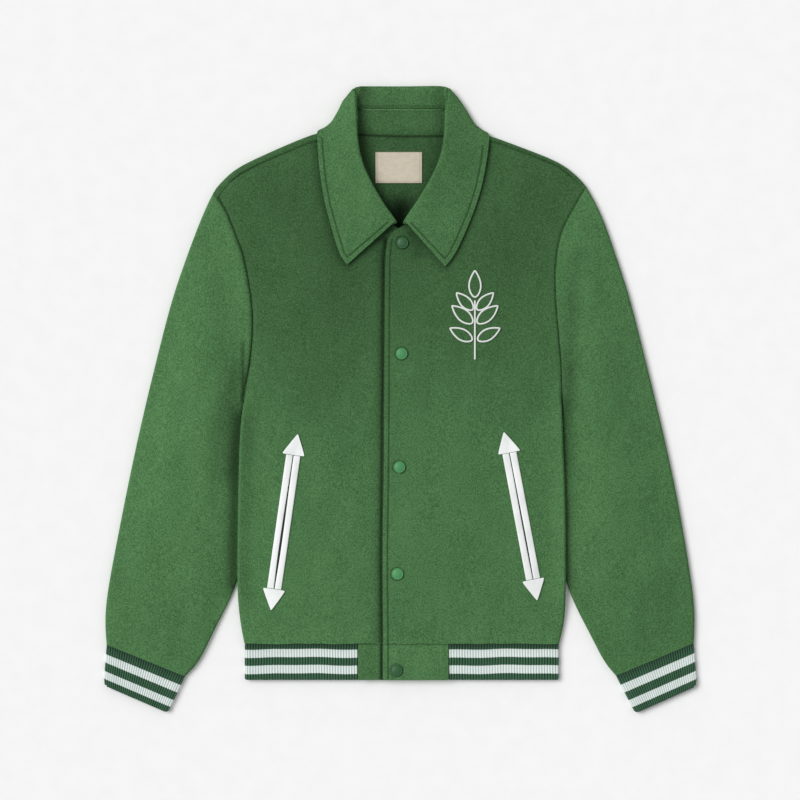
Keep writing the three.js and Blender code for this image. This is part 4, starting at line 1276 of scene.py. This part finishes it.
@dataclass
class Ribbing:
    """The cuffs and the hem in striped rib knit."""

    relief: float = 1.0
    stripes: tuple[float, ...] = (0.25, 0.45, 0.66, 0.845)
    hem_stripes: tuple[float, ...] = (0.166, 0.385, 0.60, 0.825)
    cuff_ribs: int = 31
    hem_pitch: float = 3.35
    cuff_height: float = 47.0
    hem_height: float = 45.0
    hem_corners: tuple[tuple[Point, Point, Point], ...] = (
        ((-190.3, -341.8), (0, -341.8), (-190.4, -297)),
        ((193.9, -341.8), (0, -341.8), (194, -297)),
    )
    cuffs: dict = field(
        default_factory=lambda: {
            Side.RIGHT: ((-358.8, -297.9), (-262.2, -337.3), (-362.6, -347.8), (-283.4, -382)),
            Side.LEFT: ((358.4, -295.9), (262.8, -336.4), (362.6, -348.6), (286.4, -382.6)),
        }
    )

    def ridge(self, phase: Array) -> Array:
        """A rib's round top and narrow valley over its phase."""
        return self.relief * (np.abs(np.cos(math.pi * phase)) ** 0.6 - 0.6)

    def cuff_places(self, corners: Path, points: Array) -> tuple[Array, Array, Array]:
        """Where points lie on a cuff.

        Args:
            corners: The outer and inner ends of the seam and then of the foot.
            points: The points.

        Returns:
            The share of the way down, the share across and the ribs' phase.
        """
        top_outer, top_inner, foot_outer, foot_inner = (np.array(c) for c in corners)
        plan = points[:, :2]

        def beyond(start: Array, end: Array, inside: Array) -> Array:
            """How far points are from a line, toward a place."""
            way = (end - start) / np.linalg.norm(end - start)
            across = np.array([-way[1], way[0]])
            return (plan - start) @ across * np.sign((inside - start) @ across)

        from_seam = beyond(top_outer, top_inner, foot_outer)
        from_foot = beyond(foot_outer, foot_inner, top_outer)
        down = from_seam / (from_seam + from_foot)
        left = top_outer + (foot_outer - top_outer) * down[:, None]
        right = top_inner + (foot_inner - top_inner) * down[:, None]
        span = right - left
        length = np.linalg.norm(span, axis=1)
        along = np.sum((plan - left) * span, axis=1) / length
        share = (along - 3) / (length - 6)
        return down, share, share * self.cuff_ribs + 0.5

    def hem_phase(self, points: Array) -> Array:
        """The phase of the hem's ribs."""
        x = points[:, 0]
        return np.where(x < 0, (x + 51.9) / self.hem_pitch, (x - 59.3) / self.hem_pitch) + 0.5

    def cuff(self, side: Side, corners: Path, seam: Shade) -> ClothPiece:
        """One cuff, with its ribs in its shape and its finish."""

        def moves(points: Array, facing: Array) -> Array:
            """Moves the cuff's face up and down with its ribs."""
            _, share, phase = self.cuff_places(corners, points)
            inside = smooth((share + 0.02) / 0.02) * smooth((1.02 - share) / 0.02)
            top_outer, top_inner, outer, inner = corners
            move = corner_moves(points, outer, inner, top_outer)
            move += corner_moves(points, inner, outer, top_inner)
            move[:, 2] = self.ridge(phase) * (facing > 0.3) * inside
            return move

        def paint(points: Array) -> dict[str, Array]:
            """What the knit's finish reads."""
            down, _, phase = self.cuff_places(corners, points)
            return {RIB_DOWN: down, RIB_PHASE: phase}

        return ClothPiece(
            f"cuff_{side.word}", "rib", Cut(0.19, 0.05, None), lift=Lift.UPPER, drape=None,
            levels=2, rim=0.7, growth=0.3, shades=(seam,), extra=moves, paint=paint,
        )

    def hem_moves(self, points: Array, facing: Array) -> Array:
        """Moves the hem's face up and down with its ribs."""
        move = sum(corner_moves(points, *corner, 3.0) for corner in self.hem_corners)
        side = smooth((np.minimum(points[:, 0] + 190, 194 - points[:, 0])) / 4)
        move[:, 2] = self.ridge(self.hem_phase(points)) * (facing > 0.3) * side
        return move

    def hem_paint(self, points: Array) -> dict[str, Array]:
        """What the hem's finish reads."""
        x, y = points[:, 0], points[:, 1]
        sway = 0.5 * np.sin(x / 21 + 1) + 0.3 * np.sin(x / 9)
        return {RIB_DOWN: (HEM_Y - y + sway) / self.hem_height, RIB_PHASE: self.hem_phase(points)}

    def build(self, finishes: Materials) -> list[Object]:
        """Makes the cuffs and the hem."""
        cuff_knit = RibKnit("rib_knit_cuff", self.stripes, self.cuff_height).make()
        hem_knit = RibKnit("rib_knit_hem", self.hem_stripes, self.hem_height).make()
        seams = {Side.RIGHT: Shade(CUFF_SEAM_RIGHT, 6, 0.45), Side.LEFT: Shade(CUFF_SEAM_LEFT, 6, 0.45)}
        pieces = [
            self.cuff(side, corners, seams[side]).build(cuff_knit) for side, corners in self.cuffs.items()
        ]
        hem = ClothPiece(
            "hem_rib", "rib", Cut(0.66, 0.045, None), lift=Lift.UPPER, drape=None, levels=2,
            rim=0.7, shades=(Shade(((-200, HEM_Y - 1.5), (200, HEM_Y - 1.5)), 4.5, 0.5),),
            extra=self.hem_moves, paint=self.hem_paint,
        )
        return [*pieces, hem.build(hem_knit)]


@dataclass
class Pockets:
    """Two leather pocket mouths with an arrowhead at either end."""

    mouths: dict = field(
        default_factory=lambda: {
            Side.RIGHT: ((-130.4, -67.7), (-153.7, -230.3)),
            Side.LEFT: ((132.9, -64.9), (161.9, -218.6)),
        }
    )
    lining: float = 1.7
    sunk: float = 1.1

    def build(self, finishes: Materials, surface: Surface) -> list[Object]:
        """Makes the leather and the dark slit.

        Args:
            finishes: The jacket's finishes.
            surface: The fronts' faces.

        Returns:
            The pockets' pieces.
        """
        pieces = []
        for side, (top, foot) in self.mouths.items():
            for part in ("welt_left", "welt_right", "arrow_top", "arrow_bottom"):
                node = f"pocket_{side.word}_{part}"
                pieces.append(
                    ClothPiece(node, "leather", None, levels=2, rim=0.5).build(finishes.leather)
                )
            # The slit's dark tube is the pocket lining, its darkness painted shade for the shadow in the
            # slit.
            mesh = bmesh.new()
            places = [place for place, _ in walk_path((top, foot), 6, 0.5)]
            sweep(mesh, [(*p, surface.top(*p) - self.sunk) for p in places], self.lining)
            pieces.append(add_object(f"pocket_{side.word}_slit", mesh, finishes.dark, "wool"))
        return pieces


@dataclass
class Snaps:
    """The five snap caps."""

    profile: Path = (
        (7.0, 0), (7.1, 0.6), (7.0, 1.1), (6.7, 1.5), (6.3, 1.6), (5.95, 1.45), (5.7, 1.4),
        (5.3, 1.55), (4.4, 1.95), (3.2, 2.25), (1.9, 2.4), (0.8, 2.45),
    )
    sides: int = 56
    shades: tuple[float, ...] = (0.8, 0.1, 0.1, 0.0, 0.8)

    def build(self, finishes: Materials) -> list[Object]:
        """Makes the caps."""
        pieces = []
        for number, (x, y) in enumerate(SNAP_MIDDLES, start=1):
            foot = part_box(f"snap_{number}")[0].z / MM
            foot += float(BODY_DRAPE.heights(np.array([[x, y]]))[0])
            circles = [(ring(x, y, r, self.sides)[:-1], foot + h) for r, h in self.profile]
            mesh = bmesh.new()
            loft(mesh, [[Vector((*place, z)) for place in circle] for circle, z in circles])
            tone = {SHADE: np.full(len(mesh.verts), self.shades[number - 1])}
            cap = add_object(f"snap_cap_{number}", mesh, finishes.enamel, "snap", tone)
            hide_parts(f"snap_{number}")
            pieces.append(cap)
        return pieces


@dataclass
class NeckLabel:
    """The blank woven label inside the back neck."""

    cut: Cut = Cut(0.057, 0.038, None)
    tuck: float = 2.4

    @property
    def box(self) -> tuple[float, float, float, float]:
        """The label's left, right, lower and upper edges."""
        low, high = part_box("neck_label")
        return low.x / MM, high.x / MM, low.y / MM, high.y / MM

    def build(self, finishes: Materials) -> Object:
        """Makes the label."""
        left, right, foot, top = self.box
        sides = [((x, foot), (x, top)) for x in (left + self.tuck, right - self.tuck)]
        edge = ((left, foot), (right, foot), (right, top), (left, top), (left, foot))
        return ClothPiece(
            "neck_label", "label", self.cut, drape=None, lift=Lift.STILL, rim=0.3,
            rests_on=("back",),
            stitches=tuple(Topstitch(side, 0.3, 0.5, 1.4, 0.6) for side in sides),
            shades=(
                *(Shade(side, 0.6, 0.3) for side in sides),
                Shade(edge, 1.0, 0.3),
                Shade(((left, foot + 2), (right, foot + 2)), 0.7, 0.2),
            ),
        ).build(finishes.label)


@dataclass
class Sprig:
    """The chest sprig: applied leaves with a white cord round each, on a cord stem."""

    leaves: tuple[str, ...] = ("top", "right_1", "left_1", "right_2", "left_2", "right_3", "left_3")
    cord: float = 1.15
    foot: Point = (91, 55)
    stem: float = 64

    def outline(self, leaf: Object) -> list[Point]:
        """A leaf's closed outline in plan, as the hull of its points."""
        points = [(v.co.x / MM, v.co.y / MM) for v in leaf.data.vertices]
        hull = [points[index] for index in convex_hull_2d(points)]
        start = hull.index(min(hull))
        return [*hull[start:], *hull[: start + 1]]

    def build(self, finishes: Materials, surface: Surface) -> list[Object]:
        """Makes the leaves and their cord."""
        pieces = []
        mesh = bmesh.new()
        for name in self.leaves:
            leaf = ClothPiece(
                f"sprig_leaf_{name}", "wool", Cut(0.015, 0.034, 0.0003), levels=2, rim=0.35,
                rests_on=("front_left",), shades=BODY_SHADES,
            ).build(finishes.wool)
            pieces.append(leaf)
            places = [place for place, _ in walk_path(self.outline(leaf), 1.2)][:-1]
            sweep(mesh, [(*p, surface.top(*p) + self.cord) for p in places], self.cord, closed=True)
        x, y = self.foot
        places = [(x, y + rise) for rise in np.arange(-6, self.stem + 4, 2.0)]
        sweep(mesh, [(*p, surface.top(*p) + self.cord * 0.8) for p in places], self.cord)
        pieces.append(add_object("sprig_cord", mesh, finishes.white, "leather"))
        return pieces


@dataclass
class SeamTapes:
    """The seam allowances at the bottom of the armhole and collar seams, as dark tubes of painted shade
    for the shadow in the seams' gaps.
    """

    radius: float = 1.3
    sunk: float = 2.0
    reach: float = 4.0
    collar_radius: float = 0.8
    collar_height: float = 0.9
    tone: float = 0.75

    def tape(
        self, name: str, spine: Sequence[Sequence[float]], radius: float, finishes: Materials
    ) -> Object:
        """Adds one dark tube along a spine, darkened with painted shade."""
        mesh = bmesh.new()
        sweep(mesh, spine, radius)
        # Painted shade: the tube takes the wool darkened by the tone as painted shade.
        return add_object(
            name, mesh, finishes.wool, "wool", {SHADE: np.full(len(mesh.verts), self.tone)}
        )

    def build(self, finishes: Materials, surface: Surface) -> list[Object]:
        """Lays a dark tube of painted shade under each armhole seam and under the collar's seam.

        Args:
            finishes: The jacket's finishes.
            surface: The faces of the fronts and sleeves.

        Returns:
            The dark tubes.
        """
        shade_tapes = []
        for side, path in ((Side.RIGHT, ARMHOLE_RIGHT), (Side.LEFT, ARMHOLE_LEFT)):
            spine = []
            for place, way in walk_path(path, 4.0, 1.0):
                across = np.array([-way[1], way[0]]) * self.reach
                height = min(surface.top(*(place + across)), surface.top(*(place - across)))
                if height > 0:
                    spine.append((*place, height - self.sunk))
            shade_tapes.append(self.tape(f"armhole_tape_{side.word}", spine, self.radius, finishes))
        low = [(*place, self.collar_height) for place, _ in walk_path(COLLAR_SEAM, 4.0)]
        shade_tapes.append(self.tape("collar_tape", low, self.collar_radius, finishes))
        return shade_tapes


@dataclass
class Stitching:
    """The sewn lines' threads."""

    pitch: float = 3.4
    length: float = 2.6
    thickness: float = 0.28
    lowest: float = 1.0
    arch: Path = ((-0.5, -0.1), (-0.34, 0.12), (0, 0.2), (0.34, 0.12), (0.5, -0.1))

    def run(
        self, name: str, paths: Sequence[Sequence[Point]], surface: Surface, finishes: Materials
    ) -> Object:
        """Sews a run of stitches onto the cloth.

        Args:
            name: The piece's name.
            paths: The sewn lines.
            surface: What the stitches lie on.
            finishes: The jacket's finishes.

        Returns:
            The run as one piece.
        """
        mesh = bmesh.new()
        for path in paths:
            for place, way in walk_path(path, self.pitch, self.pitch / 2):
                steps = [(place + way * share * self.length, rise) for share, rise in self.arch]
                spine = [(*step, surface.top(*step) + rise) for step, rise in steps]
                if min(z for _, _, z in spine) > self.lowest:
                    sweep(mesh, spine, self.thickness, 6)
        return add_object(name, mesh, finishes.tonal, "wool")


@dataclass
class Studio:
    """The floor, the lights and the camera over it."""

    height: float = 4.0
    lens: float = 147.25
    aim: Point = (-0.37, -0.24)
    ambient: float = 0.5
    key: float = 2.1

    def floor(self) -> None:
        """Lays the pale floor."""
        shader = Shader("pale_floor")
        paper = shader.noise((40, 40, 40), 3, 0.6)
        material = shader.finish(
            Base_Color=shader.blend(paper.step(0.2, 0.8), linear(243, 243, 243), linear(246, 246, 246)),
            Roughness=0.9, Specular_IOR_Level=0.1,
        )
        mesh = bmesh.new()
        half = 6.0
        corners = ((-half, -half), (half, -half), (half, half), (-half, half))
        mesh.faces.new([mesh.verts.new((x, y, -0.0002)) for x, y in corners])
        data = bpy.data.meshes.new("floor")
        mesh.to_mesh(data)
        mesh.free()
        data.materials.append(material)
        floor = bpy.data.objects.new("floor", data)
        bpy.context.scene.collection.objects.link(floor)

    def light(self, name: str, place: Sequence[float], spread: float, power: float) -> None:
        """Hangs a soft far light that faces the jacket.

        Args:
            name: The light's name.
            place: Which way it lies, in metres.
            spread: How wide it looks from the jacket, in degrees.
            power: Its power, in watts on each square metre.
        """
        data = bpy.data.lights.new(name, "SUN")
        data.angle = math.radians(spread)
        data.energy = power
        lamp = bpy.data.objects.new(name, data)
        lamp.location = place
        lamp.rotation_euler = (-Vector(place)).to_track_quat("-Z", "Y").to_euler()
        bpy.context.scene.collection.objects.link(lamp)

    def build(self) -> None:
        """Sets up the whole studio."""
        scene = bpy.context.scene
        scene.view_settings.view_transform = "Standard"
        world = bpy.data.worlds.new("studio")
        world.use_nodes = True
        background = world.node_tree.nodes["Background"]
        background.inputs["Color"].default_value = (1, 1, 1, 1)
        background.inputs["Strength"].default_value = self.ambient
        scene.world = world
        self.floor()
        self.light("key", (-1.0, 0.45, 1.3), 36, self.key)
        data = bpy.data.cameras.new("camera")
        data.lens = self.lens
        data.clip_end = 50
        camera = bpy.data.objects.new("camera", data)
        camera.location = (self.aim[0] * MM, self.aim[1] * MM, self.height)
        scene.collection.objects.link(camera)
        scene.camera = camera


def clear_start_file() -> None:
    """Removes the objects that Blender's own start file brings."""
    for name in ("Cube", "Light", "Camera"):
        if name in bpy.data.objects:
            bpy.data.objects.remove(bpy.data.objects[name])


def main() -> None:
    """Builds the whole jacket and its studio."""
    logging.basicConfig(level=logging.INFO, format="%(name)s: %(message)s")
    clear_start_file()
    Studio().build()
    finishes = Materials()
    body = Body()
    collar = Collar()
    fronts = body.build(finishes, collar)
    sleeves = Sleeves().build(finishes)
    Ribbing().build(finishes)
    SeamTapes().build(finishes, Surface([*fronts[:2], *sleeves]))
    falls = collar.build(finishes)
    surface = Surface([*fronts, falls[0]])
    Pockets().build(finishes, surface)
    Snaps().build(finishes)
    NeckLabel().build(finishes)
    Sprig().build(finishes, surface)
    Stitching().run("placket_stitches", [body.placket_line()], surface, finishes)
    Stitching().run("collar_stitches", collar.lines(), surface, finishes)


if __name__ == "__main__":
    main()
